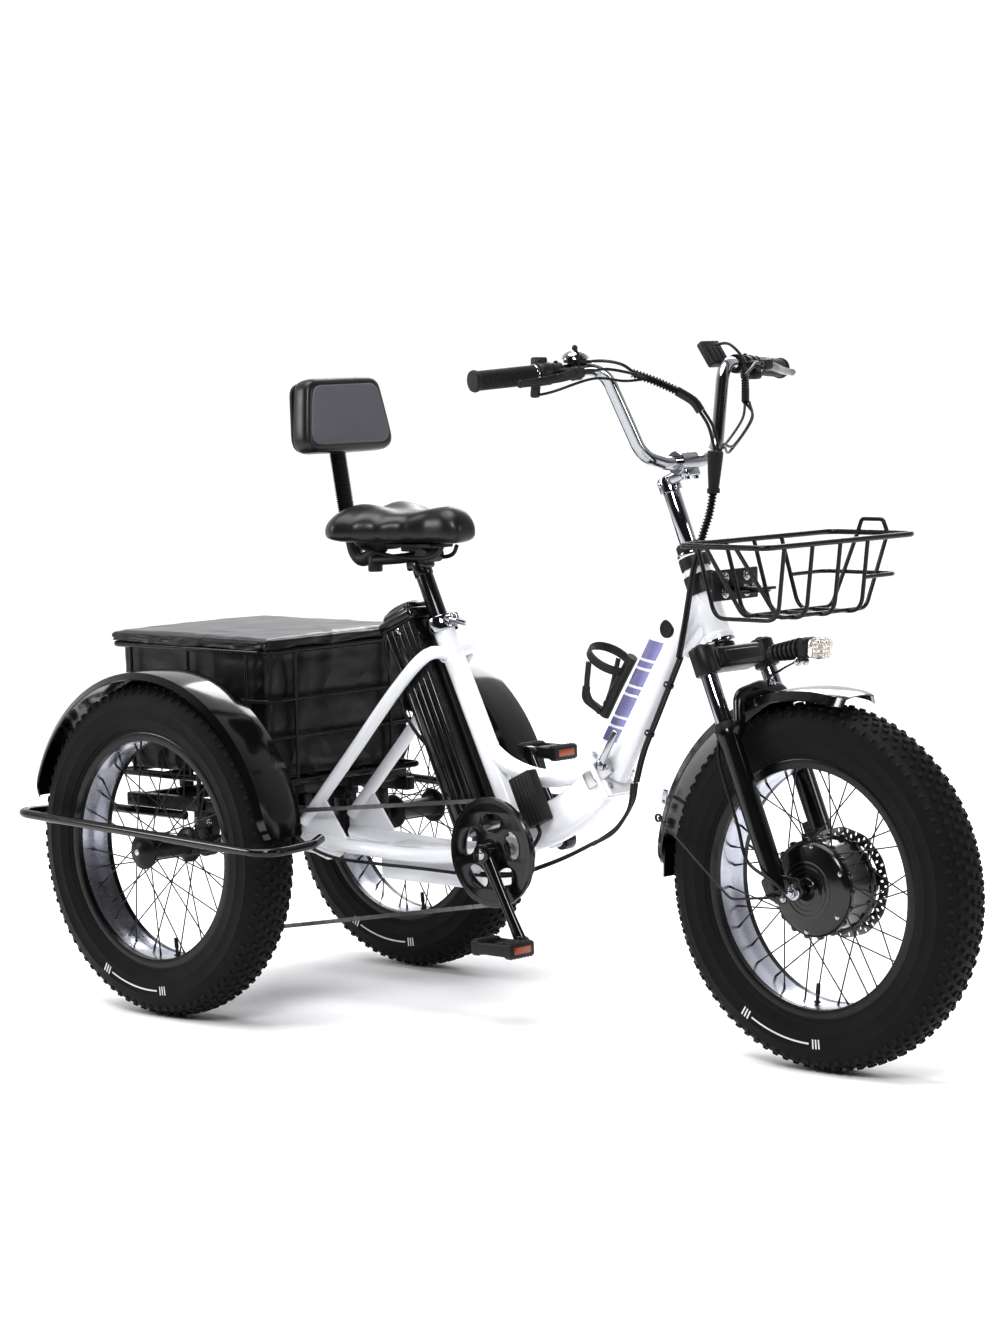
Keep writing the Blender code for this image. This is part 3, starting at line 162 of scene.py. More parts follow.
# ---------------------------------------------------------------- materials
def material(name, colour, roughness, metallic=0.0, grain=400.0, depth=0.02, vary=0.15, rough_vary=0.12,
             coat=0.0, sheen=0.0, pattern="noise", stretch=(1, 1, 1), worn=None, transmission=0.0, ior=1.5,
             specular=0.5, crumple=0.0):
    """Principled material with a fine surface, uneven gloss and a slightly uneven colour."""
    made = bpy.data.materials.new(name)
    made.use_nodes = True
    nodes, links = made.node_tree.nodes, made.node_tree.links
    shader = nodes["Principled BSDF"]
    shader.inputs["Metallic"].default_value = metallic
    shader.inputs["Coat Weight"].default_value = coat
    shader.inputs["Coat Roughness"].default_value = 0.08
    shader.inputs["Sheen Weight"].default_value = sheen
    shader.inputs["Sheen Roughness"].default_value = 0.4
    shader.inputs["Transmission Weight"].default_value = transmission
    shader.inputs["IOR"].default_value = ior
    shader.inputs["Specular IOR Level"].default_value = specular
    place = nodes.new("ShaderNodeTexCoord")
    mapping = nodes.new("ShaderNodeMapping")
    mapping.inputs["Scale"].default_value = stretch
    links.new(place.outputs["Object"], mapping.inputs["Vector"])

    broad = nodes.new("ShaderNodeTexNoise")
    broad.inputs["Scale"].default_value = 9.0
    broad.inputs["Detail"].default_value = 6.0
    links.new(mapping.outputs["Vector"], broad.inputs["Vector"])
    tint = nodes.new("ShaderNodeValToRGB")
    tint.color_ramp.elements[0].position = 0.3
    tint.color_ramp.elements[1].position = 0.7
    tint.color_ramp.elements[0].color = (*(c * (1 - vary) for c in colour), 1)
    tint.color_ramp.elements[1].color = (*(min(1, c * (1 + vary)) for c in colour), 1)
    links.new(broad.outputs["Fac"], tint.inputs["Fac"])
    base = tint.outputs["Color"]
    if worn:
        edges = nodes.new("ShaderNodeNewGeometry")
        edge = nodes.new("ShaderNodeMapRange")
        edge.inputs["From Min"].default_value = 0.52
        edge.inputs["From Max"].default_value = 0.62
        edge.inputs["To Max"].default_value = 0.5
        links.new(edges.outputs["Pointiness"], edge.inputs["Value"])
        rub = nodes.new("ShaderNodeMix")
        rub.data_type = "RGBA"
        rub.inputs["B"].default_value = (*worn, 1)
        links.new(edge.outputs["Result"], rub.inputs["Factor"])
        links.new(base, rub.inputs["A"])
        base = rub.outputs["Result"]
    links.new(base, shader.inputs["Base Color"])

    smear = nodes.new("ShaderNodeTexNoise")
    smear.inputs["Scale"].default_value = 35.0
    smear.inputs["Detail"].default_value = 8.0
    links.new(mapping.outputs["Vector"], smear.inputs["Vector"])
    gloss = nodes.new("ShaderNodeMapRange")
    gloss.inputs["To Min"].default_value = max(0.02, roughness - rough_vary)
    gloss.inputs["To Max"].default_value = min(1.0, roughness + rough_vary)
    links.new(smear.outputs["Fac"], gloss.inputs["Value"])
    links.new(gloss.outputs["Result"], shader.inputs["Roughness"])

    bump = nodes.new("ShaderNodeBump")
    bump.inputs["Strength"].default_value = 0.6
    bump.inputs["Distance"].default_value = depth / 1000
    if pattern == "weave":
        threads = []
        for direction in ("X", "Z"):
            wave = nodes.new("ShaderNodeTexWave")
            wave.bands_direction = direction
            wave.inputs["Scale"].default_value = grain
            wave.inputs["Distortion"].default_value = 0.6
            links.new(mapping.outputs["Vector"], wave.inputs["Vector"])
            threads.append(wave)
        height = nodes.new("ShaderNodeMath")
        height.operation = "MAXIMUM"
        links.new(threads[0].outputs["Fac"], height.inputs[0])
        links.new(threads[1].outputs["Fac"], height.inputs[1])
        links.new(height.outputs["Value"], bump.inputs["Height"])
    elif pattern == "leather":
        cells = nodes.new("ShaderNodeTexVoronoi")
        cells.feature = "SMOOTH_F1"
        cells.inputs["Scale"].default_value = grain
        links.new(mapping.outputs["Vector"], cells.inputs["Vector"])
        links.new(cells.outputs["Distance"], bump.inputs["Height"])
    else:
        fine = nodes.new("ShaderNodeTexNoise")
        fine.inputs["Scale"].default_value = grain
        fine.inputs["Detail"].default_value = 4.0
        links.new(mapping.outputs["Vector"], fine.inputs["Vector"])
        links.new(fine.outputs["Fac"], bump.inputs["Height"])
    if crumple:
        folds = nodes.new("ShaderNodeTexNoise")
        folds.inputs["Scale"].default_value = 6.5
        folds.inputs["Detail"].default_value = 1.5
        folds.inputs["Distortion"].default_value = 0.5
        ridge = nodes.new("ShaderNodeValToRGB")
        ridge.color_ramp.elements[0].position = 0.32
        ridge.color_ramp.elements[1].position = 0.68
        ridge.color_ramp.elements.new(0.5).color = (0.9, 0.9, 0.9, 1)
        ridge.color_ramp.elements[2].color = (0.1, 0.1, 0.1, 1)
        under = nodes.new("ShaderNodeBump")
        under.inputs["Strength"].default_value = 1.0
        under.inputs["Distance"].default_value = crumple / 1000
        links.new(mapping.outputs["Vector"], folds.inputs["Vector"])
        links.new(folds.outputs["Fac"], ridge.inputs["Fac"])
        links.new(ridge.outputs["Color"], under.inputs["Height"])
        links.new(under.outputs["Normal"], bump.inputs["Normal"])
    links.new(bump.outputs["Normal"], shader.inputs["Normal"])
    return made


WHITE = material("white_paint", (0.80, 0.81, 0.84), 0.22, grain=120, depth=0.03, vary=0.02, rough_vary=0.05,
                 coat=0.6)
BLACK = material("black_gloss_paint", (0.004, 0.004, 0.0045), 0.18, grain=160, depth=0.03, vary=0.3, coat=0.2,
                 worn=(0.014, 0.014, 0.014), specular=0.35)
WIRE = material("black_wire_coat", (0.004, 0.004, 0.0045), 0.26, grain=260, depth=0.04, vary=0.3,
                worn=(0.014, 0.014, 0.014), specular=0.3)
GUARD = material("mudguard_gloss_black", (0.003, 0.003, 0.0035), 0.13, grain=60, depth=0.06, vary=0.3,
                 coat=0.4, rough_vary=0.05, specular=0.4)
CHROME = material("bright_chrome", (0.38, 0.39, 0.41), 0.08, 1.0, grain=700, depth=0.01, vary=0.04,
                  rough_vary=0.06, stretch=(1, 1, 0.3))
STEEL = material("bare_steel", (0.50, 0.50, 0.51), 0.32, 1.0, grain=500, depth=0.03, vary=0.15)
DARK_STEEL = material("oiled_steel", (0.13, 0.13, 0.135), 0.38, 1.0, grain=500, depth=0.03, vary=0.3,
                      worn=(0.35, 0.35, 0.35))
SATIN = material("satin_black_metal", (0.008, 0.008, 0.0085), 0.38, 0.3, grain=300, depth=0.05, vary=0.25,
                 worn=(0.030, 0.030, 0.030), specular=0.35)
PLASTIC = material("moulded_black_plastic", (0.008, 0.008, 0.0085), 0.45, grain=900, depth=0.06, vary=0.2,
                   worn=(0.020, 0.020, 0.020), specular=0.32)
MOTOR = material("motor_gloss_black", (0.005, 0.005, 0.0055), 0.20, 0.2, grain=220, depth=0.05, vary=0.25,
                 worn=(0.030, 0.030, 0.030), coat=0.3)
BATTERY = material("battery_gloss_black", (0.004, 0.004, 0.0045), 0.15, grain=300, depth=0.03, vary=0.2,
                   coat=0.2, worn=(0.018, 0.018, 0.018))
TYRE = material("tyre_rubber", (0.0055, 0.0055, 0.006), 0.58, grain=700, depth=0.08, vary=0.25, sheen=0.05,
                worn=(0.014, 0.014, 0.014), specular=0.12)
RUBBER = material("soft_rubber", (0.006, 0.006, 0.0065), 0.55, grain=900, depth=0.08, vary=0.2, sheen=0.1,
                  specular=0.25)
CABLE = material("cable_sleeve", (0.006, 0.006, 0.0065), 0.36, grain=600, depth=0.05, vary=0.2, specular=0.35)
RIM_BLACK = material("rim_anodised_black", (0.006, 0.006, 0.0065), 0.28, 0.4, grain=300, depth=0.02, vary=0.2)
RIM_SILVER = material("rim_bright_inside", (0.50, 0.51, 0.58), 0.26, 0.9, grain=300, depth=0.03, vary=0.06,
                      stretch=(1, 0.2, 1))
VINYL = material("black_vinyl", (0.005, 0.005, 0.006), 0.36, grain=420, depth=0.10, vary=0.2, coat=0.05,
                 rough_vary=0.08, pattern="leather", specular=0.42)
# Painted sheen: the backrest's front is the same black vinyl, coloured lighter grey to stand in for its
# reflection of the broad soft light.
VINYL_PAINTED_SHEEN = material("grey_vinyl", (0.085, 0.082, 0.096), 0.5, grain=420, depth=0.10, vary=0.06,
                      pattern="leather")
NYLON = material("black_nylon", (0.0035, 0.0035, 0.0042), 0.34, grain=260, depth=0.10, vary=0.2,
                 rough_vary=0.06, pattern="weave", specular=0.36, crumple=5.0)
NYLON_GREY = material("dark_coated_nylon", (0.030, 0.030, 0.036), 0.33, grain=260, depth=0.12, vary=0.08,
                      rough_vary=0.05, coat=0.1, pattern="weave", crumple=2.5)
PAINT_MARK = material("pale_sidewall_print", (0.62, 0.61, 0.58), 0.6, grain=500, depth=0.05, vary=0.1)
DECAL = material("silver_violet_decal", (0.22, 0.21, 0.40), 0.25, 0.7, grain=30, depth=0.02, vary=0.25,
                 coat=0.4)
AMBER = material("amber_reflector", (0.30, 0.055, 0.010), 0.2, grain=200, depth=0.5, vary=0.15, coat=0.4)
SCREEN = material("display_glass", (0.02, 0.025, 0.03), 0.08, grain=50, depth=0.01, vary=0.2, coat=1.0)
REFLECTOR = material("headlight_mirror", (0.85, 0.82, 0.76), 0.15, 1.0, grain=140, depth=1.2, vary=0.12)
LENS = material("headlight_lens", (0.95, 0.92, 0.88), 0.05, grain=90, depth=0.3, vary=0.03, rough_vary=0.03,
                transmission=0.85, ior=1.49)
SMOKE = material("smoked_lever", (0.20, 0.20, 0.20), 0.25, 0.5, grain=300, depth=0.02, vary=0.15, coat=0.3)


# ---------------------------------------------------------------- mesh tools
@contextmanager
def piece(name, look, body, *nodes, slot=None, angle=38, subdivide=0, bends=None):
    """One visual piece: what is added to the mesh in the block rides on the body, for these CAD nodes."""
    bm = bmesh.new()
    yield bm
    bmesh.ops.recalc_face_normals(bm, faces=bm.faces)
    register(solid(name, bm), look, body, *nodes, slot=slot, angle=angle, subdivide=subdivide, bends=bends)


def solid(name, bm):
    """Object made from the mesh, in the scene."""
    mesh = bpy.data.meshes.new(name)
    bm.to_mesh(mesh)
    bm.free()
    obj = bpy.data.objects.new(name, mesh)
    bpy.context.scene.collection.objects.link(obj)
    return obj


def register(obj, look, body, *nodes, slot=None, angle=38, subdivide=0, bends=None):
    """Give the piece its finish and its body; bends holds the body at its far end and where the bend runs,
    but only its presence is used: the piece's place is then baked into its mesh and it rides on no body.
    """
    obj.data.materials.clear()
    obj.data.materials.append(look)
    obj.data.shade_smooth()
    obj.data.set_sharp_from_angle(angle=math.radians(angle))
    if subdivide:
        finer = obj.modifiers.new("Subdivision", "SUBSURF")
        finer.levels = subdivide
        finer.render_levels = subdivide
    obj.location = SHIFT
    if bends:
        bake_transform(obj)
    else:
        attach(obj, body)
    if nodes:
        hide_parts(*nodes)
    return obj


def merge(bm, other, matrix=Matrix.Identity(4)):
    """Add a small mesh to the piece, in its place."""
    other.transform(matrix)
    other.normal_update()
    mesh = bpy.data.meshes.new("bit")
    other.to_mesh(mesh)
    other.free()
    bm.from_mesh(mesh)
    bpy.data.meshes.remove(mesh)


def aim(direction):
    return Vector(direction).to_track_quat("Z", "Y").to_matrix().to_4x4()


def rod(bm, start, end, radius, sides=20, end_radius=None, bevel=0.0):
    start, end = Vector(start), Vector(end)
    along = end - start
    bit = bmesh.new()
    bmesh.ops.create_cone(bit, cap_ends=True, segments=sides, radius1=radius,
                          radius2=radius if end_radius is None else end_radius, depth=along.length)
    if bevel:
        rims = [e for e in bit.edges if abs(e.verts[0].co.z - e.verts[1].co.z) < 1e-6]
        bmesh.ops.bevel(bit, geom=rims, offset=bevel, segments=2, profile=0.5, affect="EDGES")
    merge(bm, bit, Matrix.Translation((start + end) / 2) @ aim(along))


def block(bm, centre, size, lean=0.0, turn=0.0, bevel=0.002, segments=3, matrix=None):
    bit = bmesh.new()
    bmesh.ops.create_cube(bit, size=1)
    bit.transform(Matrix.Diagonal((*size, 1)))
    if bevel:
        bmesh.ops.bevel(bit, geom=bit.edges[:], offset=min(bevel, min(size) * 0.45), segments=segments,
                        profile=0.5, affect="EDGES")
    if matrix is None:
        matrix = Matrix.Rotation(turn, 4, "Z") @ Matrix.Rotation(-lean, 4, "Y")
    merge(bm, bit, Matrix.Translation(centre) @ matrix)


def ball(bm, centre, radius, squash=(1, 1, 1)):
    bit = bmesh.new()
    bmesh.ops.create_uvsphere(bit, u_segments=20, v_segments=12, radius=radius)
    bit.transform(Matrix.Diagonal((*squash, 1)))
    merge(bm, bit, Matrix.Translation(centre))


def skin(bm, rings, around=True, ends=False):
    """Faces between each row of points and the next, closed round each row, with or without end caps."""
    for one, two in zip(rings, rings[1:]):
        count = len(one)
        for i in range(count if around else count - 1):
            j = (i + 1) % count
            bm.faces.new((one[i], one[j], two[j], two[i]))
    if ends:
        bm.faces.new(rings[0])
        bm.faces.new(reversed(rings[-1]))


def lathe(bm, profile, centre, axis=(0, 1, 0), steps=48, closed=True, first=0.0, sweep=360.0, across=None):
    """Turn a list of (radius, height) points about an axis; across fixes where the first angle points."""
    axis = Vector(axis).normalized()
    out = Vector(across if across else (axis.orthogonal())).normalized()
    side = axis.cross(out)
    full = abs(sweep - 360) < 1e-6
    rings = []
    for k in range(steps if full else steps + 1):
        angle = math.radians(first + sweep * k / steps)
        away = out * math.cos(angle) + side * math.sin(angle)
        rings.append([bm.verts.new(Vector(centre) + away * r + axis * h) for r, h in profile])
    skin(bm, rings + rings[:1] if full else rings, around=closed, ends=closed and not full)


def hoop(bm, inner, outer, half, centre, axis=(0, 1, 0), steps=24):
    """Plain square-edged ring, half its width to each side of the centre."""
    lathe(bm, [(inner, -half), (outer, -half), (outer, half), (inner, half)], centre, axis=axis, steps=steps)


def sweep(bm, route, radius, sides=16, flat=1.0, closed=False, up=(0, 1, 0), caps=True):
    """Tube along a route; radius may be a list, one for each point, and flat thins it along up."""
    route = [Vector(p) for p in route]
    count = len(route)
    radii = radius if isinstance(radius, list) else [radius] * count
    up = Vector(up)
    rings = []
    previous = None
    for i, point in enumerate(route):
        if closed:
            along = route[(i + 1) % count] - route[i - 1]
        else:
            along = route[min(i + 1, count - 1)] - route[max(i - 1, 0)]
        along.normalize()
        if previous is None:
            one = up - along * up.dot(along)
            one = one.normalized() if one.length > 1e-4 else along.orthogonal().normalized()
        else:
            one = (previous - along * previous.dot(along)).normalized()
        previous = one
        two = along.cross(one)
        ring = []
        for k in range(sides):
            angle = 2 * math.pi * k / sides
            ring.append(bm.verts.new(point + one * radii[i] * flat * math.cos(angle)
                                     + two * radii[i] * math.sin(angle)))
        rings.append(ring)
    skin(bm, rings + rings[:1] if closed else rings, ends=caps and not closed)


def rounded(corners, radius, steps=8, closed=False):
    """Route through corner points, each turned into an arc of about this radius."""
    corners = [Vector(p) for p in corners]
    count = len(corners)
    route = []
    for i, corner in enumerate(corners):
        if not closed and i in (0, count - 1):
            route.append(corner)
            continue
        before = corners[i - 1] - corner
        after = corners[(i + 1) % count] - corner
        half = before.angle(after) / 2
        setback = min(radius / math.tan(half), before.length * 0.49, after.length * 0.49)
        start = corner + before.normalized() * setback
        end = corner + after.normalized() * setback
        for k in range(steps + 1):
            t = k / steps
            route.append(start * (1 - t) ** 2 + corner * 2 * t * (1 - t) + end * t ** 2)
    return route


def smooth(points, spacing=0.01):
    """Points read off a smooth curve through the route's own points."""
    points = [Vector(p) for p in points]
    ends = [points[0] * 2 - points[1]] + points + [points[-1] * 2 - points[-2]]
    route = [points[0]]
    for p0, p1, p2, p3 in zip(ends, ends[1:], ends[2:], ends[3:]):
        count = max(1, round((p2 - p1).length / spacing))
        for k in range(1, count + 1):
            t = k / count
            route.append(0.5 * (p1 * 2 + (p2 - p0) * t + (p0 * 2 - p1 * 5 + p2 * 4 - p3) * t ** 2
                                + (p1 * 3 - p0 - p2 * 3 + p3) * t ** 3))
    return route


def plate(bm, outline, thickness, matrix, holes=(), bevel=0.0):
    """Flat plate from an outline in its own XY plane, with round or shaped holes, then put in place."""
    curve = bpy.data.curves.new("plate", "CURVE")
    curve.dimensions = "2D"
    curve.fill_mode = "BOTH"
    curve.extrude = thickness / 2 - bevel
    curve.bevel_depth = bevel
    curve.bevel_resolution = 2
    curve.offset = -bevel
    for points in (outline, *holes):
        spline = curve.splines.new("POLY")
        spline.points.add(len(points) - 1)
        for target, (x, y) in zip(spline.points, points):
            target.co = (x, y, 0, 1)
        spline.use_cyclic_u = True
    holder = bpy.data.objects.new("plate", curve)
    bpy.context.scene.collection.objects.link(holder)
    bpy.context.view_layer.update()
    mesh = bpy.data.meshes.new_from_object(holder.evaluated_get(bpy.context.evaluated_depsgraph_get()))
    bpy.data.objects.remove(holder, do_unlink=True)
    bit = bmesh.new()
    bit.from_mesh(mesh)
    bpy.data.meshes.remove(mesh)
    bmesh.ops.remove_doubles(bit, verts=bit.verts, dist=0.00001)
    merge(bm, bit, matrix)


def circle(radius, x=0.0, y=0.0, count=16, stretch=1.0, turn=0.0):
    """Round or oval outline, its long way turned by this angle."""
    points = []
    for k in range(count):
        a = 2 * math.pi * k / count
        u, v = radius * stretch * math.cos(a), radius * math.sin(a)
        points.append((x + u * math.cos(turn) - v * math.sin(turn),
                       y + u * math.sin(turn) + v * math.cos(turn)))
    return points


# A plate's XY plane becomes XZ, and its face looks along Y.
UPRIGHT = Matrix.Rotation(math.radians(90), 4, "X")


def bolt(bm, place, axis, radius=0.004, height=0.003, hexagon=True):
    """Bolt head with a washer, its face looking along the axis."""
    place, axis = Vector(place), Vector(axis).normalized()
    rod(bm, place - axis * 0.001, place + axis * 0.0008, radius * 1.45, sides=24, bevel=0.0003)
    rod(bm, place, place + axis * height, radius, sides=6 if hexagon else 20, bevel=0.0005)
    if not hexagon:
        rod(bm, place + axis * height, place + axis * (height + 0.0002), radius * 0.5, sides=6)


# ---------------------------------------------------------------- wheels
TREAD_PITCHES = 84


def tyre_mesh(bm, centre):
    """Carcass with ribbed sidewalls, and blocks of tread in staggered rows."""
    outer = [(0.2035, 0.0335), (0.2060, 0.0375), (0.2090, 0.0392), (0.2115, 0.0412), (0.2140, 0.0412),
             (0.2165, 0.0440), (0.2230, 0.0458), (0.2320, 0.0478), (0.2335, 0.0484), (0.2350, 0.0480),
             (0.2450, 0.0486), (0.2560, 0.0484), (0.2575, 0.0489), (0.2590, 0.0480), (0.2680, 0.0462),
             (0.2760, 0.0425), (0.2835, 0.0370), (0.2885, 0.0290), (0.2914, 0.0190), (0.2928, 0.0090)]
    profile = outer + [(0.2932, 0.0)] + [(r, -y) for r, y in reversed(outer)]
    profile += [(0.2000, -0.0300), (0.2000, 0.0300)]
    lathe(bm, profile, centre, steps=120, across=(1, 0, 0))
    rows = [(0.0000, 0.2925, 0.0070, 0.0060, 0.0, 0.0046), (0.0135, 0.2918, 0.0070, 0.0060, 0.5, 0.0044),
            (0.0265, 0.2888, 0.0066, 0.0058, 0.0, 0.0036), (0.0380, 0.2812, 0.0054, 0.0066, 0.5, 0.0022)]
    for k in range(TREAD_PITCHES):
        for row, (y, base, long, wide, phase, height) in enumerate(rows):
            for side in ((1,) if y == 0 else (-1, 1)):
                turn = 2 * math.pi * (k + phase + (0.25 if side > 0 and y else 0)) / TREAD_PITCHES
                out = radial(turn)
                slope = (0.0, 0.10, 0.32, 0.85)[row] * side
                lift = (out * math.cos(slope) + sideways(1) * math.sin(slope)).normalized()
                run = Vector((-math.sin(turn), 0, math.cos(turn)))
                across = lift.cross(run)
                foot = centre + out * (base - 0.003) + sideways(y * side)
                twist = 0.35 * side if y else 0.0
                u = run * math.cos(twist) + across * math.sin(twist)
                v = across * math.cos(twist) - run * math.sin(twist)
                corners = []
                for level, grow in ((0, 1.25), (height + 0.0012, 1.0), (height + 0.0030, 0.88)):
                    for a, b in ((-1, -1), (1, -1), (1, 1), (-1, 1)):
                        corners.append(bm.verts.new(foot + lift * level + u * a * long * grow * 0.62
                                + v * b * wide * grow * 0.62))
                for level in (0, 4):
                    for i in range(4):
                        j = (i + 1) % 4
                        bm.faces.new((corners[level + i], corners[level + j], corners[level + 4 + j],
                                      corners[level + 4 + i]))
                bm.faces.new(corners[8:12])


def limited(bm, centre, radius):
    """Press anything beyond the rolling radius back to it, as worn tread is."""
    for vert in bm.verts:
        flat = vert.co - centre
        reach = math.hypot(flat.x, flat.z)
        if reach > radius:
            vert.co.x = centre.x + flat.x * radius / reach
            vert.co.z = centre.z + flat.z * radius / reach


def sidewall_marks(bm, centre, middle, side):
    """Plain pale bars in place of the maker's print: an arc between two groups of short strokes."""
    def strip(first, last, low, high, steps):
        rings = []
        for k in range(steps + 1):
            out = radial(math.radians(first + (last - first) * k / steps))
            rings.append([bm.verts.new(centre + out * r + sideways(side * 0.0490))
                          for r in (low, high)])
        for one, two in zip(rings, rings[1:]):
            bm.faces.new((one[0], one[1], two[1], two[0]))
    for offset in (-19.0, -17.6, -16.2, 15.6, 17.0, 18.4):
        strip(middle + offset, middle + offset + 0.7, 0.2400, 0.2555, 1)
    strip(middle - 14.2, middle + 14.0, 0.2462, 0.2492, 24)


def rim_meshes(name, centre, body, node):
    with piece(name + "_walls", RIM_BLACK, body, node) as bm:
        for side in (-1, 1):
            wall = [(0.1935, 0.0290), (0.1935, 0.0390), (0.1955, 0.0400), (0.2060, 0.0400), (0.2090, 0.0395),
                    (0.2100, 0.0385), (0.2090, 0.0372), (0.2020, 0.0365), (0.1990, 0.0290)]
            lathe(bm, [(r, y * side) for r, y in wall], centre, steps=96)
    with piece(name + "_inside", RIM_SILVER, body) as bm:
        inside = [(0.1938, -0.0292), (0.1930, -0.0150), (0.1945, -0.0060), (0.1945, 0.0060), (0.1930, 0.0150),
                  (0.1938, 0.0292), (0.1985, 0.0290), (0.1985, -0.0290)]
        lathe(bm, inside, centre, steps=96)


def spoke_mesh(bm, centre, flange_r, flange_y, count, cross):
    """Crossed spokes with nipples, alternately from the two flanges."""
    for k in range(count):
        side = 1 if k % 2 else -1
        pair = 1 if (k // 2) % 2 else -1
        at_rim = 2 * math.pi * (k + 0.5) / count
        at_hub = at_rim + pair * cross
        rim_point = centre + radial(at_rim) * 0.1935
        rim_point.y += side * 0.007
        hub_point = centre + radial(at_hub) * flange_r
        hub_point.y += side * flange_y
        rod(bm, hub_point, rim_point, 0.0012, sides=8)
        inward = (hub_point - rim_point).normalized()
        rod(bm, rim_point, rim_point + inward * 0.012, 0.0021, sides=8, end_radius=0.0016)


def valve(bm, centre, angle):
    """Air valve standing in from the rim at this angle, in degrees."""
    out = radial(math.radians(angle))
    rod(bm, centre + out * 0.195, centre + out * 0.176, 0.0030, sides=16)
    rod(bm, centre + out * 0.178, centre + out * 0.160, 0.0040, sides=16, end_radius=0.0034, bevel=0.0006)
    rod(bm, centre + out * 0.1925, centre + out * 0.189, 0.0058, sides=20, bevel=0.0006)


def brake_disc(bm, centre, inner, outer, thickness, arms, slots):
    """Slotted brake disc: drilled braking ring on swept arms, round a plain inner carrier ring."""
    holes = []
    for k in range(slots):
        a = 2 * math.pi * k / slots
        for r, offset in ((outer - 0.0055, 0.0), (outer - 0.0125, 0.5 * 2 * math.pi / slots)):
            holes.append(circle(0.0022, r * math.cos(a + offset), r * math.sin(a + offset), 8, 1.7,
                                a + offset))
    ring_in = outer - 0.018
    gaps = []
    for k in range(arms):
        first, last = 2 * math.pi * (k + 0.14) / arms, 2 * math.pi * (k + 0.80) / arms
        gap = []
        for i in range(7):
            a = first + (last - first) * i / 6
            gap.append((ring_in * math.cos(a + 0.22), ring_in * math.sin(a + 0.22)))
        for i in range(7):
            a = last - (last - first) * i / 6
            gap.append(((inner + 0.010) * math.cos(a), (inner + 0.010) * math.sin(a)))
        gaps.append(gap)
    wave = [((outer - 0.0008 + 0.0008 * math.cos(a * 12)) * math.cos(a),
             (outer - 0.0008 + 0.0008 * math.cos(a * 12)) * math.sin(a))
            for a in (2 * math.pi * i / 120 for i in range(120))]
    plate(bm, wave, thickness, Matrix.Translation(centre) @ UPRIGHT, [circle(inner, count=32)] + holes + gaps)


def front_wheel():
    body = "front_wheel"
    with piece("front_tyre_tread", TYRE, body, "front_tyre", angle=32) as bm:
        tyre_mesh(bm, FRONT_AXLE)
        limited(bm, FRONT_AXLE, TYRE_R)
    with piece("front_tyre_print", PAINT_MARK, body) as bm:
        for side in (-1, 1):
            sidewall_marks(bm, FRONT_AXLE, -104, side)
    rim_meshes("front_rim", FRONT_AXLE, body, "front_rim")
    with piece("front_spokes", SATIN, body, slot="motor_black") as bm:
        spoke_mesh(bm, FRONT_AXLE, 0.079, 0.030, 36, 0.42)
        valve(bm, FRONT_AXLE, -96)
    with piece("front_motor_case", MOTOR, body, "front_hub_motor") as bm:
        lathe(bm, [(0.0074, -0.0480), (0.0180, -0.0490), (0.0200, -0.0470), (0.0240, -0.0462),
                   (0.0500, -0.0455), (0.0540, -0.0440), (0.0680, -0.0425), (0.0740, -0.0400),
                   (0.0775, -0.0350), (0.0785, -0.0330), (0.0785, -0.0260), (0.0745, -0.0240),
                   (0.0735, -0.0200), (0.0735, 0.0200), (0.0745, 0.0240), (0.0785, 0.0260), (0.0785, 0.0330),
                   (0.0740, 0.0380), (0.0600, 0.0420), (0.0300, 0.0440), (0.0074, 0.0450)], FRONT_AXLE,
              steps=72)
        for k in range(18):
            out = radial(2 * math.pi * k / 18)
            for y in (-0.0300, 0.0295):
                rod(bm, FRONT_AXLE + out * 0.0768 + sideways(y - 0.0036),
                    FRONT_AXLE + out * 0.0768 + sideways(y + 0.0036), 0.0062, sides=16, bevel=0.0008)
        for k in range(3):
            lathe(bm, [(0.0270 + 0.008 * k, -0.0466), (0.0300 + 0.008 * k, -0.0466),
                       (0.0300 + 0.008 * k, -0.0440), (0.0270 + 0.008 * k, -0.0440)], FRONT_AXLE, steps=64)
    with piece("front_motor_screws", CHROME, body, slot="bright_steel") as bm:
        for k in range(6):
            out = radial(math.radians(25 + 60 * k))
            bolt(bm, FRONT_AXLE + out * 0.0690 + sideways(-0.0416), (0, -1, 0), 0.0030, 0.0022, False)
            bolt(bm, FRONT_AXLE + out * 0.0220 + sideways(0.0470), (0, 1, 0), 0.0022, 0.0016, False)
    with piece("front_brake_disc", DARK_STEEL, body, "front_brake_rotor") as bm:
        brake_disc(bm, FRONT_AXLE + sideways(0.0490), 0.030, 0.090, 0.002, 6, 30)


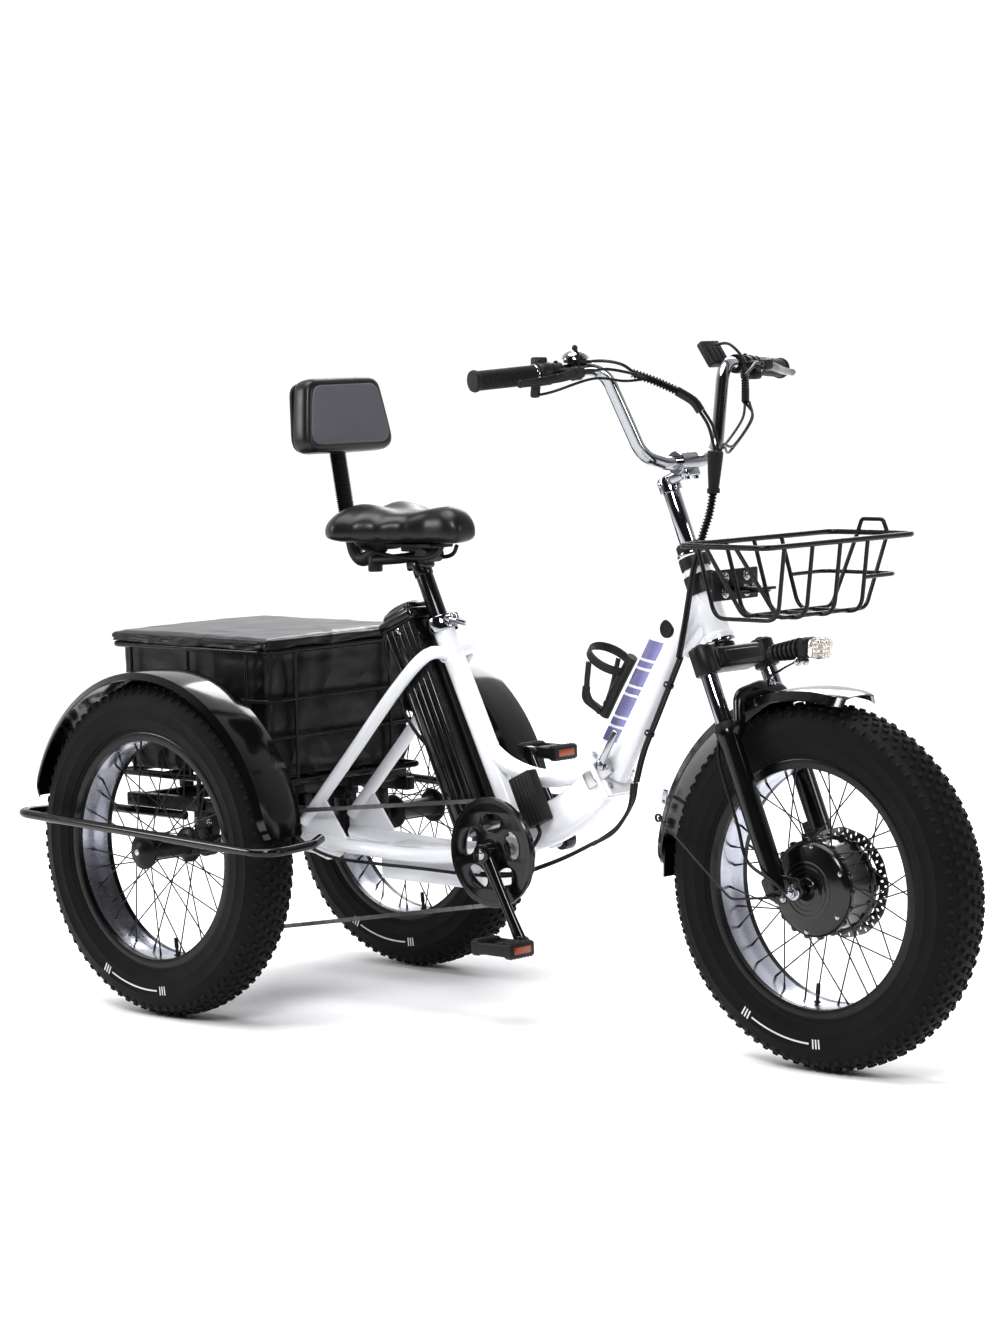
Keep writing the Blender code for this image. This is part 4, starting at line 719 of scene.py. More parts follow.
def rear_wheel(side):
    name = label(side)
    body = "rear_wheel_" + name
    centre = Vector((REAR_X, side * HALF_TRACK, AXLE_Z))
    with piece(f"rear_tyre_tread_{name}", TYRE, body, "rear_tyre_" + name, angle=32) as bm:
        tyre_mesh(bm, centre)
        limited(bm, centre, TYRE_R)
    with piece(f"rear_tyre_print_{name}", PAINT_MARK, body) as bm:
        for face in (-1, 1):
            sidewall_marks(bm, centre, -100, face)
    rim_meshes("rear_rim_" + name, centre, body, "rear_rim_" + name)
    with piece(f"rear_spokes_{name}", SATIN, body, slot="motor_black") as bm:
        spoke_mesh(bm, centre, 0.0275, 0.049, 36, 0.62)
        valve(bm, centre, -84)
    with piece(f"rear_hub_shell_{name}", SATIN, body, "rear_hub_" + name, slot="motor_black") as bm:
        shell = [(0.0, -0.0690), (0.0080, -0.0690), (0.0120, -0.0670), (0.0200, -0.0650), (0.0300, -0.0560),
                 (0.0315, -0.0545), (0.0315, -0.0505), (0.0300, -0.0485), (0.0200, -0.0450),
                 (0.0170, -0.0380), (0.0170, 0.0380), (0.0200, 0.0450), (0.0300, 0.0485), (0.0315, 0.0505),
                 (0.0315, 0.0545), (0.0300, 0.0560), (0.0200, 0.0590), (0.0100, 0.0600), (0.0, 0.0600)]
        lathe(bm, shell, centre, steps=40, closed=False)
        for k in range(5):
            out = radial(2 * math.pi * k / 5)
            bolt(bm, centre + out * 0.0215 + sideways(side * 0.0600), (0, side, 0), 0.003, 0.0025,
                 False)
    with piece(f"rear_axle_shaft_{name}", STEEL, body) as bm:
        rod(bm, (REAR_X, side * 0.004, AXLE_Z), centre, 0.0085, sides=28, bevel=0.001)
        rod(bm, centre + sideways(side * 0.058), centre + sideways(side * 0.067), 0.0095, sides=6,
            bevel=0.0008)
        rod(bm, centre + sideways(side * 0.066), centre + sideways(side * 0.0695), 0.0055,
            sides=20, bevel=0.0008)


def rear_disc():
    with piece("rear_brake_disc", STEEL, "rear_wheel_left", "rear_brake_rotor") as bm:
        centre = Vector((REAR_X, ROTOR_Y, AXLE_Z))
        brake_disc(bm, centre, 0.0150, 0.070, 0.002, 6, 26)
        lathe(bm, [(0.0088, -0.010), (0.0088, 0.010), (0.016, 0.010), (0.022, 0.004), (0.022, 0.001),
                   (0.016, -0.010)], centre, steps=32)


# ---------------------------------------------------------------- fork, steering and bar
def fork():
    with piece("fork_crown", SATIN, "steering", "fork_upper") as bm:
        block(bm, on_head(-0.032, 0.012), (0.050, 0.118, 0.036), HEAD_LEAN, bevel=0.010, segments=4)
        block(bm, on_head(-0.034, 0.036), (0.010, 0.090, 0.022), HEAD_LEAN, bevel=0.004)
        for side in (-1, 1):
            rod(bm, on_head(-0.0100, LEG_AHEAD, side * LEG_Y), on_head(-0.056, LEG_AHEAD, side * LEG_Y),
                0.0208, sides=40, bevel=0.003)
            rod(bm, on_head(-0.0075, LEG_AHEAD, side * LEG_Y), on_head(-0.012, LEG_AHEAD, side * LEG_Y),
                0.0150, sides=32, bevel=0.0015)
            rod(bm, on_head(-0.0045, LEG_AHEAD, side * LEG_Y), on_head(-0.009, LEG_AHEAD, side * LEG_Y),
                0.0060, sides=6, bevel=0.001)
        rod(bm, on_head(-0.020), on_head(-0.004), 0.0215, sides=40, bevel=0.002)
    with piece("fork_stanchions", CHROME, "steering") as bm:
        for side in (-1, 1):
            rod(bm, on_head(-0.040, LEG_AHEAD, side * LEG_Y), on_head(-0.250, LEG_AHEAD, side * LEG_Y), 0.014,
                sides=40, bevel=0.001)
    with piece("fork_lower_legs", BLACK, "fork_lowers", "fork_lowers") as bm:
        for side in (-1, 1):
            y = side * LEG_Y
            foot = on_head(-0.425, LEG_AHEAD, y)
            leg = [(0.0150, 0.282), (0.0172, 0.280), (0.0192, 0.276), (0.0192, 0.264), (0.0180, 0.258),
                   (0.0180, 0.100), (0.0168, 0.020), (0.0160, 0.004), (0.0120, 0.0), (0.0, 0.0)]
            lathe(bm, leg, foot, axis=HEAD_UP, steps=40, closed=False)
            plate_turn = Matrix.Rotation(-HEAD_LEAN, 4, "Y")
            outline = rounded_outline([(-0.016, 0.030), (0.012, 0.034), (0.060, 0.010), (0.064, -0.012),
                                       (0.048, -0.022), (0.006, -0.018), (-0.014, 0.0)], 0.008)
            plate(bm, outline, 0.008, Matrix.Translation(on_head(-0.425, LEG_AHEAD - 0.012, y)) @ plate_turn
                  @ UPRIGHT, bevel=0.0015)
        arch = rounded([on_head(-0.175, 0.020, -0.072), on_head(-0.150, 0.040, -0.068),
                        on_head(-0.105, 0.047, -0.056), on_head(-0.096, 0.050, 0),
                        on_head(-0.105, 0.047, 0.056), on_head(-0.150, 0.040, 0.068),
                        on_head(-0.175, 0.020, 0.072)], 0.020, 6)
        sweep(bm, arch, 0.0125, sides=20, flat=0.55, up=HEAD_AHEAD)
        block(bm, off_axle(-0.070, 0.0668, 0.060), (0.034, 0.006, 0.070), HEAD_LEAN, bevel=0.002)
    with piece("fork_dust_seals", RUBBER, "fork_lowers") as bm:
        for side in (-1, 1):
            lathe(bm, [(0.0143, 0.0), (0.0195, 0.0), (0.0200, 0.003), (0.0185, 0.006), (0.0175, 0.010),
                       (0.0150, 0.013), (0.0143, 0.013)], on_head(-0.150, LEG_AHEAD, side * LEG_Y),
                  axis=HEAD_UP, steps=36)
    with piece("front_caliper", PLASTIC, "fork_lowers") as bm:
        spot = off_axle(-0.062, 0.0610, 0.052)
        block(bm, spot, (0.044, 0.020, 0.054), HEAD_LEAN, bevel=0.005)
        block(bm, spot + Vector((-0.010, 0.008, 0.020)), (0.026, 0.012, 0.020), HEAD_LEAN, bevel=0.003)
    with piece("front_axle_nuts", CHROME, "fork_lowers", slot="bright_steel") as bm:
        for side in (-1, 1):
            hub = FRONT_AXLE + sideways(side * 0.0795)
            rod(bm, hub, hub + sideways(side * 0.0022), 0.0125, sides=32, bevel=0.0006)
            rod(bm, hub + sideways(side * 0.002), hub + sideways(side * 0.0100), 0.0092, sides=6,
                bevel=0.0010)
            rod(bm, FRONT_AXLE + sideways(side * 0.050), hub + sideways(side * 0.0125), 0.0060,
                sides=24, bevel=0.001)
            bolt(bm, off_axle(-0.022, side * 0.0797, -0.012), (0, side, 0), 0.0042, 0.004)
            bolt(bm, off_axle(-0.030, side * 0.0797, 0.006), (0, side, 0), 0.0035, 0.003, False)
    with piece("front_brake_hose", CABLE, "fork_lowers") as bm:
        hose = smooth([on_head(-0.120, 0.030, 0.058), on_head(-0.200, 0.000, 0.098),
                       on_head(-0.300, -0.006, 0.100), on_head(-0.350, -0.010, 0.088),
                       off_axle(-0.072, 0.066, 0.080)], 0.008)
        sweep(bm, hose, 0.0025, sides=12)
        motor = smooth([off_axle(-0.005, -0.091, 0.0), off_axle(-0.030, -0.100, 0.020),
                        on_head(-0.360, -0.010, -0.094), on_head(-0.300, -0.006, -0.094),
                        on_head(-0.200, -0.004, -0.092), on_head(-0.160, 0.004, -0.086)], 0.008)
        sweep(bm, motor, 0.0028, sides=12)


def rounded_outline(corners, radius):
    return [(p.x, p.y) for p in rounded([(x, y, 0) for x, y in corners], radius, 5, closed=True)]


def guard_section(half, crown, shoulder, lip, thickness, rows=13):
    """Closed cross-section of a mudguard, as (radius, offset) points: a shallow arch with a folded edge."""
    outer = []
    for k in range(rows):
        t = -1 + 2 * k / (rows - 1)
        drop = (crown - shoulder) * abs(t) ** 2.6
        if abs(t) > 0.86:
            drop += (shoulder - lip) * ((abs(t) - 0.86) / 0.14)
        outer.append((crown - drop, half * math.copysign(abs(t) ** 0.94, t)))
    return outer + [(r - thickness, y * (1 - thickness / half)) for r, y in reversed(outer)]


def mudguard_arch(bm, centre, section, first, last, steps, ease, pinch):
    """Sweep the section round the wheel between two angles; it narrows by pinch over the end steps."""
    rings = []
    for k in range(steps + 1):
        out = radial(math.radians(first + (last - first) * k / steps))
        near = min(k, steps - k) / ease
        narrow = 1 - pinch * max(0, 1 - near) ** 2
        rings.append([bm.verts.new(centre + out * r + sideways(y * narrow)) for r, y in section])
    skin(bm, rings, ends=True)


def front_mudguard():
    with piece("front_mudguard_shell", GUARD, "fork_lowers", "front_mudguard") as bm:
        section = guard_section(0.054, 0.321, 0.315, 0.304, 0.0022)
        mudguard_arch(bm, FRONT_AXLE, section, 76.0, 177.0, steps=60, ease=3, pinch=0.22)
        block(bm, off_axle(-0.298, 0, 0.020), (0.0030, 0.098, 0.050), math.radians(-2), bevel=0.001)
    with piece("front_mudguard_stays", WIRE, "fork_lowers") as bm:
        for side in (-1, 1):
            foot = off_axle(-0.3020, side * 0.0545, 0.094)
            route = rounded([foot, off_axle(-0.12, side * 0.092, -0.020),
                             off_axle(-0.032, side * 0.0880, -0.010)], 0.03, 6)
            sweep(bm, route, 0.0021, sides=10)
            hoop(bm, 0.0040, 0.0072, 0.0015, foot + sideways(side * 0.0010))
    with piece("front_mudguard_bolts", CHROME, "fork_lowers", slot="bright_steel") as bm:
        for side in (-1, 1):
            spot = off_axle(-0.2890, side * 0.0535, 0.1300)
            block(bm, spot, (0.010, 0.003, 0.026), math.radians(-12), bevel=0.001)
            for lift in (-0.009, 0.009):
                bolt(bm, spot + Vector((lift * 0.2, side * 0.0018, lift)), (0, side, 0), 0.0026, 0.002, False)


def headlight():
    body = "fork_lowers"
    start, end = Vector((-0.106, 0, 0.6665)), Vector((-0.028, 0, 0.6800))
    along = (end - start).normalized()
    with piece("headlight_body", PLASTIC, body, "headlight") as bm:
        profile = [(0.0, 0.0), (0.0080, 0.0), (0.0105, 0.003)]
        for k in range(6):
            at = 0.010 + 0.0100 * k
            profile += [(0.0105 + 0.0007 * k, at), (0.0140 + 0.0007 * k, at + 0.0012),
                        (0.0140 + 0.0007 * k, at + 0.0060), (0.0108 + 0.0007 * k, at + 0.0072)]
        profile += [(0.0150, 0.0740), (0.0170, 0.0790), (0.0, 0.0790)]
        lathe(bm, profile, start, axis=along, steps=40, closed=False)
        block(bm, (-0.026, 0, 0.6800), (0.018, 0.0385, 0.0335), math.radians(-8), bevel=0.007, segments=4)
    with piece("headlight_mirror_bowl", REFLECTOR, body) as bm:
        block(bm, (-0.010, 0, 0.6802), (0.014, 0.0345, 0.0295), math.radians(-8), bevel=0.006, segments=2)
        for k in range(5):
            for j in range(4):
                block(bm, (-0.002, -0.013 + 0.0065 * k, 0.6705 + 0.0066 * j), (0.004, 0.0055, 0.0056),
                      math.radians(-8), bevel=0.0012, segments=2)
    with piece("headlight_lens", LENS, body) as bm:
        block(bm, (0.0000, 0, 0.6803), (0.025, 0.0375, 0.0330), math.radians(-8), bevel=0.007, segments=5)
    with piece("headlight_bracket", CHROME, body, slot="bright_steel") as bm:
        strip = rounded([(-0.104, 0, 0.6135), (-0.107, 0, 0.6300), (-0.050, 0, 0.6560), (-0.036, 0, 0.6640)],
                        0.008, 5)
        sweep(bm, strip, 0.0080, sides=16, flat=0.22, up=(0.4, 0, -1))
        bolt(bm, (-0.1010, 0, 0.6195), (1, 0, 0), 0.0050, 0.004)
        for side in (-1, 1):
            bolt(bm, (-0.0400, side * 0.0100, 0.6570), (0, side, 0), 0.0048, 0.005)
        rod(bm, (-0.0400, -0.011, 0.6570), (-0.0400, 0.011, 0.6570), 0.0030, sides=16)


def stem_and_bar():
    with piece("stem_column", CHROME, "steering", "stem") as bm:
        rod(bm, on_head(HEAD_LENGTH + 0.0055), on_head(0.288), 0.0143, sides=44, bevel=0.001)
        lathe(bm, [(0.0145, 0.0), (0.0190, 0.0), (0.0190, 0.020), (0.0175, 0.024), (0.0145, 0.024)],
              on_head(0.262), axis=HEAD_UP, steps=36)
        block(bm, on_head(0.280, 0.020), (0.044, 0.024, 0.020), HEAD_LEAN, bevel=0.005)
        centre = on_head(0.2973, 0.0436)
        lathe(bm, [(BAR_R + 0.0004, -0.021), (0.0180, -0.021), (0.0192, -0.0195), (0.0192, 0.0195),
                   (0.0180, 0.021), (BAR_R + 0.0004, 0.021)], centre, steps=44)
        block(bm, on_head(0.277, 0.050), (0.016, 0.034, 0.014), HEAD_LEAN, bevel=0.003)
        for side in (-1, 1):
            bolt(bm, on_head(0.270, 0.050, side * 0.011), -HEAD_UP, 0.0046, 0.005)
            bolt(bm, on_head(0.276, -0.004, side * 0.0155), (0, side, 0), 0.0044, 0.004)
    with piece("stem_collar", PLASTIC, "steering") as bm:
        lathe(bm, [(0.0146, 0.0), (0.0215, 0.0), (0.0225, 0.002), (0.0225, 0.011), (0.0205, 0.014),
                   (0.0146, 0.015)], on_head(HEAD_LENGTH + 0.0012), axis=HEAD_UP, steps=40)
    with piece("handlebar_tube", CHROME, "steering", "handlebar") as bm:
        right = [BAR_END, BAR_TOP_BEND, BAR_LOW_BEND, BAR_CLAMP + sideways(-0.045)]
        left = [mirrored(p) for p in reversed(right)]
        sweep(bm, rounded(right + left, 0.050, 14), BAR_R - 0.0001, sides=28)


def bar_ring(bm, at, side, outer, length, chamfer=0.001, steps=32):
    """Ring clamped round the bar, reaching outward from this distance along it, its rims chamfered."""
    inner, shoulder = BAR_R + 0.0002, outer - chamfer
    profile = [(inner, 0.0), (shoulder, 0.0), (outer, 0.001), (outer, length - 0.001), (shoulder, length),
               (inner, length)]
    lathe(bm, profile, on_bar(at, side), axis=outwards(side), steps=steps)


def grips_and_levers(side):
    name = label(side)
    with piece("grip_sleeve_" + name, RUBBER, "steering", "grip_" + name) as bm:
        profile = [(BAR_R, 0.0), (0.0152, 0.0), (0.0158, 0.0015)]
        count = 22
        for k in range(count):
            at = 0.005 + 0.100 * k / count
            profile += [(0.0158, at), (0.0158, at + 0.0028), (0.0149, at + 0.0034), (0.0149, at + 0.0042)]
        profile += [(0.0158, 0.106), (0.0175, 0.108), (0.0180, 0.1115), (0.0165, 0.1150), (0.0, 0.1155)]
        lathe(bm, profile, on_bar(0.1115, side), axis=outwards(side), steps=36, closed=False)
    with piece("grip_ring_" + name, CHROME, "steering") as bm:
        bar_ring(bm, 0.1165 if side > 0 else 0.1130, side, 0.0176, 0.0045, 0.0006, 36)
    with piece("brake_perch_body_" + name, PLASTIC, "steering", "brake_perch_" + name) as bm:
        bar_ring(bm, 0.1595, side, 0.0160, 0.016)
        block(bm, on_bar(0.152, side, ahead=0.026), (0.036, 0.022, 0.013), bevel=0.004)
        block(bm, on_bar(0.152, side, ahead=0.045), (0.020, 0.020, 0.0175), bevel=0.004)
        rod(bm, on_bar(0.158, side, ahead=0.045), on_bar(0.180, side, ahead=0.050), 0.0046, sides=20,
            end_radius=0.0038, bevel=0.0008)
        bolt(bm, on_bar(0.1515, side, up=0.0158), (0, 0, 1), 0.003, 0.003, False)
    look = PLASTIC if side < 0 else SMOKE
    with piece("brake_lever_blade_" + name, look, "brake_lever_" + name, "brake_lever_" + name) as bm:
        pivot = on_bar(0.150, side, ahead=0.050)
        route = smooth([pivot, on_bar(0.118, side, ahead=0.053, up=-0.005),
                        on_bar(0.080, side, ahead=0.048, up=-0.008),
                        on_bar(0.050, side, ahead=0.047, up=-0.009),
                        on_bar(0.036, side, ahead=0.051, up=-0.009)], 0.004)
        radii = [0.0078 - 0.0022 * i / (len(route) - 1) for i in range(len(route))]
        radii[-1] = 0.0030
        sweep(bm, route, radii, sides=18, flat=0.42, up=(1, 0, 0))
        ball(bm, route[-3], 0.0062, (0.6, 1, 1))
        rod(bm, pivot + upward(0.0095), pivot - upward(0.0105), 0.0042, sides=20, bevel=0.001)


def bar_controls():
    with piece("throttle_pod", PLASTIC, "throttle", "throttle") as bm:
        lathe(bm, [(BAR_R + 0.0003, 0.0), (0.0180, 0.0), (0.0190, 0.0015), (0.0190, 0.0225), (0.0180, 0.0240),
                   (BAR_R + 0.0003, 0.0240)], on_bar(0.1388, -1), axis=BAR_OUT, steps=36)
        block(bm, on_bar(0.127, -1, ahead=-0.008, up=0.017), (0.024, 0.018, 0.020), bevel=0.004)
        block(bm, on_bar(0.126, -1, ahead=-0.015, up=-0.020), (0.011, 0.016, 0.036), math.radians(-8),
              bevel=0.004)
    with piece("bell_dome", CHROME, "steering", "bell") as bm:
        spot = on_bar(0.188, -1)
        seat = spot + upward(0.0165)
        dome = [(0.0, 0.0155), (0.0045, 0.0154), (0.0100, 0.0146), (0.0155, 0.0122), (0.0195, 0.0085),
                (0.0215, 0.0043), (0.0222, 0.0015), (0.0205, 0.0012), (0.0180, 0.0075), (0.0100, 0.0128),
                (0.0, 0.0138)]
        lathe(bm, dome, seat, axis=(0, 0, 1), steps=44, closed=False)
        rod(bm, seat + upward(0.0140), seat + upward(0.0175), 0.0032, sides=20, bevel=0.001)
    with piece("bell_base", PLASTIC, "steering") as bm:
        bar_ring(bm, 0.196, -1, 0.0163, 0.016, 0.0008)
        rod(bm, spot + upward(0.012), seat + upward(0.0012), 0.0190, sides=36, bevel=0.0015)
    with piece("bell_striker", PLASTIC, "bell_lever", "bell_lever") as bm:
        pivot = spot + Vector((0.022, -0.016, 0.006))
        route = smooth([pivot, pivot + Vector((0.003, -0.004, 0.018)),
                        pivot + Vector((0.003, -0.012, 0.030))], 0.003)
        sweep(bm, route, 0.0024, sides=14)
        ball(bm, route[-1], 0.0052, (0.8, 1, 1))
    with piece("display_case", PLASTIC, "steering", "display") as bm:
        bar_ring(bm, 0.1925, 1, 0.0163, 0.013, 0.0005)
        screen = mirrored(BAR_TOP_BEND) + Vector((-0.046, 0.028, 0.014))
        tilt = math.radians(35)
        block(bm, screen, (0.015, 0.046, 0.048), tilt, bevel=0.004, segments=4)
        block(bm, (screen + on_bar(0.187, 1)) / 2 + Vector((0.0, 0.002, -0.004)), (0.026, 0.014, 0.010),
              bevel=0.003)
        for k in range(3):
            block(bm, screen + Vector((0.0094, -0.012 + 0.012 * k, 0)), (0.002, 0.008, 0.030), tilt,
                  bevel=0.0008)
    with piece("display_window", SCREEN, "steering") as bm:
        block(bm, screen + Matrix.Rotation(-tilt, 4, "Y") @ Vector((-0.0073, 0, 0.003)),
              (0.0014, 0.038, 0.034), tilt, bevel=0.0006)
    with piece("shifter_pod", PLASTIC, "steering") as bm:
        block(bm, on_bar(0.134, 1, ahead=0.004, up=-0.016), (0.034, 0.022, 0.016), bevel=0.005)
        bar_ring(bm, 0.1415, 1, 0.0172, 0.016, 0.0007)


def corrugated(bm, points, radius, pitch=0.0056, depth=0.0017):
    """Split-loom sleeve: rounded rings one after another along the route."""
    route = smooth(points, pitch / 4)
    radii = [radius + depth * math.cos(2 * math.pi * i / 4) for i in range(len(route))]
    sweep(bm, route, radii, sides=18)


def hose(name, points, radius, body, *nodes, bends=None):
    """Cable that runs free between two fittings."""
    route = smooth([Vector(point) for point in points], 0.005)
    with piece(name, CABLE, body, *nodes, bends=bends) as bm:
        sweep(bm, route, radius, sides=12)


BOOT_TOP = Vector((-0.176, -0.041, 0.990))
BOOT_FOOT = Vector((-0.182, -0.041, 0.930))


def bar_cables():
    """Sleeved cables from both ends of the bar to a rubber boot, and down beside the head tube."""
    with piece("bar_cable_sleeves", CABLE, "steering") as bm:
        corrugated(bm, [(-0.262, -0.140, 1.122), (-0.240, -0.110, 1.108), (-0.218, -0.078, 1.090)], 0.0062)
        sweep(bm, smooth([(-0.220, -0.080, 1.091), (-0.205, -0.060, 1.075), (-0.196, -0.052, 1.058)], 0.006),
              0.0078, sides=18)
        corrugated(bm, [(-0.292, 0.176, 1.120), (-0.278, 0.160, 1.090), (-0.262, 0.140, 1.066)], 0.0050)
    for k, (dx, dy) in enumerate(((0.0, 0.0), (0.004, 0.006), (-0.004, 0.004))):
        hose("right_bar_cable_%d" % k, [(-0.198 + dx, -0.054 + dy, 1.060), (-0.186 + dx, -0.046 + dy, 1.035),
                                        (-0.180 + dx, -0.042 + dy, 1.008),
                                        (-0.177 + dx * 0.6, -0.041 + dy * 0.6, 0.995)], 0.0024, "steering")
    for k, (dx, dy, dz) in enumerate(((0.0, 0.0, 0.0), (0.006, 0.004, 0.004), (-0.005, 0.007, -0.002))):
        bow = 0.010 * k
        hose("left_bar_cable_%d" % k,
             [(-0.264 + dx, 0.142 + dy, 1.066), (-0.240 + dx + bow, 0.105 + dy, 1.040),
              (-0.206 + dx, 0.030 + dy, 1.010 - bow), (-0.182, -0.018 + dy, 1.000 + dz),
              (-0.176 + dx * 0.5, -0.034 + dy * 0.5, 0.9945)], 0.0022, "steering")
    with piece("lever_cables", CABLE, "steering") as bm:
        for side in (-1, 1):
            join = Vector((-0.260, side * 0.142, 1.122))
            sweep(bm, smooth([on_bar(0.178, side, ahead=0.049), on_bar(0.205, side, ahead=0.050, up=0.0),
                              join + Vector((0.004, side * 0.008, 0.0)),
                              join + Vector((0.016, -side * 0.022, -0.010))], 0.006), 0.0024, sides=12)
        sweep(bm, smooth([on_bar(0.196, -1, ahead=0.004, up=0.012), on_bar(0.222, -1, ahead=0.020, up=0.012),
                          (-0.275, -0.150, 1.136), (-0.258, -0.134, 1.118)], 0.006), 0.0026, sides=12)
        sweep(bm, smooth([on_bar(0.126, -1, ahead=-0.014, up=-0.034),
                          on_bar(0.150, -1, ahead=-0.004, up=-0.030),
                          on_bar(0.196, -1, ahead=0.030, up=-0.014), (-0.272, -0.150, 1.110),
                          (-0.250, -0.124, 1.112)], 0.006), 0.0022, sides=12)
        sweep(bm, smooth([mirrored(BAR_TOP_BEND) + Vector((-0.034, 0.020, 0.030)),
                          mirrored(BAR_TOP_BEND) + Vector((0.000, 0.016, 0.030)),
                          mirrored(BAR_TOP_BEND) + Vector((0.028, 0.018, 0.004)), (-0.290, 0.172, 1.112)],
                         0.006), 0.0024, sides=12)
    with piece("cable_boot", RUBBER, "steering") as bm:
        route = smooth([BOOT_TOP + upward(0.004), BOOT_FOOT], 0.004)
        count = len(route)
        radii = [0.0132 - 0.0050 * (i / (count - 1)) ** 1.2 for i in range(count)]
        radii[0] = 0.0118
        sweep(bm, route, radii, sides=24)
        rod(bm, BOOT_FOOT + upward(0.004), BOOT_FOOT - upward(0.004), 0.0104, sides=28,
            bevel=0.001)
    with piece("bar_loom_sleeve", CABLE, "steering", "bar_loom") as bm:
        corrugated(bm, [BOOT_FOOT, (-0.190, -0.042, 0.895), (-0.203, -0.044, 0.860), (-0.214, -0.046, 0.826)],
                   0.0058)
    for k, (dx, dy) in enumerate(((0.003, 0.0), (-0.003, 0.002), (0.0, -0.0045))):
        hose("head_cable_%d" % k, [(-0.213 + dx, -0.046 + dy, 0.829), (-0.226 + dx, -0.046 + dy, 0.790),
                                   (-0.247 + dx, -0.040 + dy, 0.720), (-0.2715 + dx, -0.030 + dy, 0.6565)],
             0.0025, "steering", bends=("front_frame", (-0.216, -0.046, 0.822), (-0.268, -0.032, 0.668)))


# ---------------------------------------------------------------- front frame
def front_frame():
    body = "front_frame"
    with piece("front_frame_tubes", WHITE, body, "front_frame", angle=50) as bm:
        rod(bm, on_head(0.002), on_head(HEAD_LENGTH - 0.002), 0.0222, sides=44)
        for at in (0.002, HEAD_LENGTH - 0.016):
            lathe(bm, [(0.0215, 0.0), (0.0245, 0.001), (0.0245, 0.010), (0.0222, 0.014)], on_head(at),
                  axis=HEAD_UP, steps=44, closed=False)
        route = smooth([(-0.236, 0, 0.760), (-0.300, 0, 0.700), (-0.3575, 0, 0.611), (-0.408, 0, 0.530),
                        HINGE + HINGE_NORMAL * 0.004], 0.012)
        sweep(bm, route, 0.0362, sides=40, flat=0.66)
        block(bm, HINGE + HINGE_NORMAL * 0.0055, (0.0096, 0.066, 0.090), HINGE_LEAN, bevel=0.003)
        sweep(bm, smooth([(-0.226, 0, 0.735), (-0.248, 0, 0.700), (-0.285, 0, 0.660)], 0.01), 0.012, sides=16,
              flat=0.6)
    with piece("front_hinge_metal", STEEL, body) as bm:
        rod(bm, (HINGE.x, HINGE_PIN_Y, HINGE.z - 0.0138), (HINGE.x, HINGE_PIN_Y, HINGE.z + 0.0138), 0.0092,
            sides=28, bevel=0.001)
        block(bm, HINGE + HINGE_NORMAL * 0.0055 + sideways(0.041), (0.0088, 0.018, 0.025), HINGE_LEAN,
              bevel=0.002)
        for lift in (-0.030, 0.030):
            bolt(bm, HINGE + HINGE_NORMAL * 0.012 + HINGE_RUN * lift + sideways(-0.028), HINGE_NORMAL,
                 0.004, 0.004)
        block(bm, HINGE + HINGE_NORMAL * 0.020 + sideways(-0.032), (0.030, 0.010, 0.034), HINGE_LEAN,
              bevel=0.003)
    with piece("headset_cups", CHROME, body) as bm:
        for low, high in ((-0.002, 0.004), (HEAD_LENGTH - 0.006, HEAD_LENGTH)):
            lathe(bm, [(0.0140, low), (0.0245, low), (0.0255, (low + high) / 2), (0.0245, high),
                       (0.0140, high)], on_head(0), axis=HEAD_UP, steps=44)
    with piece("headset_collar", PLASTIC, body) as bm:
        lathe(bm, [(0.0226, 0.0), (0.0246, 0.0), (0.0252, 0.002), (0.0252, 0.018), (0.0246, 0.020),
                   (0.0226, 0.020)], on_head(HEAD_LENGTH - 0.028), axis=HEAD_UP, steps=44)
    with piece("frame_grommet", RUBBER, body) as bm:
        centre = Vector((-0.303, -0.0222, 0.7010))
        axis = Vector((0, -1, 0.12))
        lathe(bm, [(0.0060, -0.004), (0.0150, -0.004), (0.0155, 0.001), (0.0120, 0.0035), (0.0070, 0.0030),
                   (0.0060, 0.0)], centre, axis=axis, steps=32)
        lathe(bm, [(0.0, -0.003), (0.0075, -0.003), (0.0075, 0.0030), (0.0, 0.0030)], centre, axis=axis,
              steps=24, closed=False)
    with piece("frame_decal", DECAL, body) as bm:
        decal_bars(bm)
    with piece("fold_clamp_lever", CHROME, "fold_lever", "fold_lever") as bm:
        pivot = HINGE + HINGE_NORMAL * 0.030 + sideways(-0.0435)
        rod(bm, pivot + sideways(-0.0100), pivot + sideways(0.0060), 0.0088, sides=32,
            bevel=0.0015)
        block(bm, pivot + Vector((0.018, -0.0070, 0.030)), (0.0125, 0.0050, 0.070), math.radians(-32),
              bevel=0.0024)
        bolt(bm, pivot + sideways(-0.0100), (0, -1, 0), 0.0042, 0.002)


def decal_bars(bm):
    """Plain slanted bars along the right face of the main tube, laid on its curved surface."""
    top, foot = Vector((-0.326, 0, 0.668)), Vector((-0.425, 0, 0.512))
    along = (foot - top).normalized()
    across = Vector((-along.z, 0, along.x))
    widths = (0.036, 0.012, 0.031, 0.012, 0.040, 0.014, 0.027)
    at = -0.012
    for width in widths:
        rows = []
        for i in range(7):
            t = -0.024 + 0.048 * i / 6
            slant = -0.45 * t
            depth = -0.0239 * math.sqrt(max(0.02, 1 - (t / 0.0362) ** 2)) - 0.0005
            rows.append([bm.verts.new(top + along * (at + slant + s) + across * t + sideways(depth))
                         for s in (0.0, width / 2, width)])
        skin(bm, rows, around=False)
        at += width + 0.0052


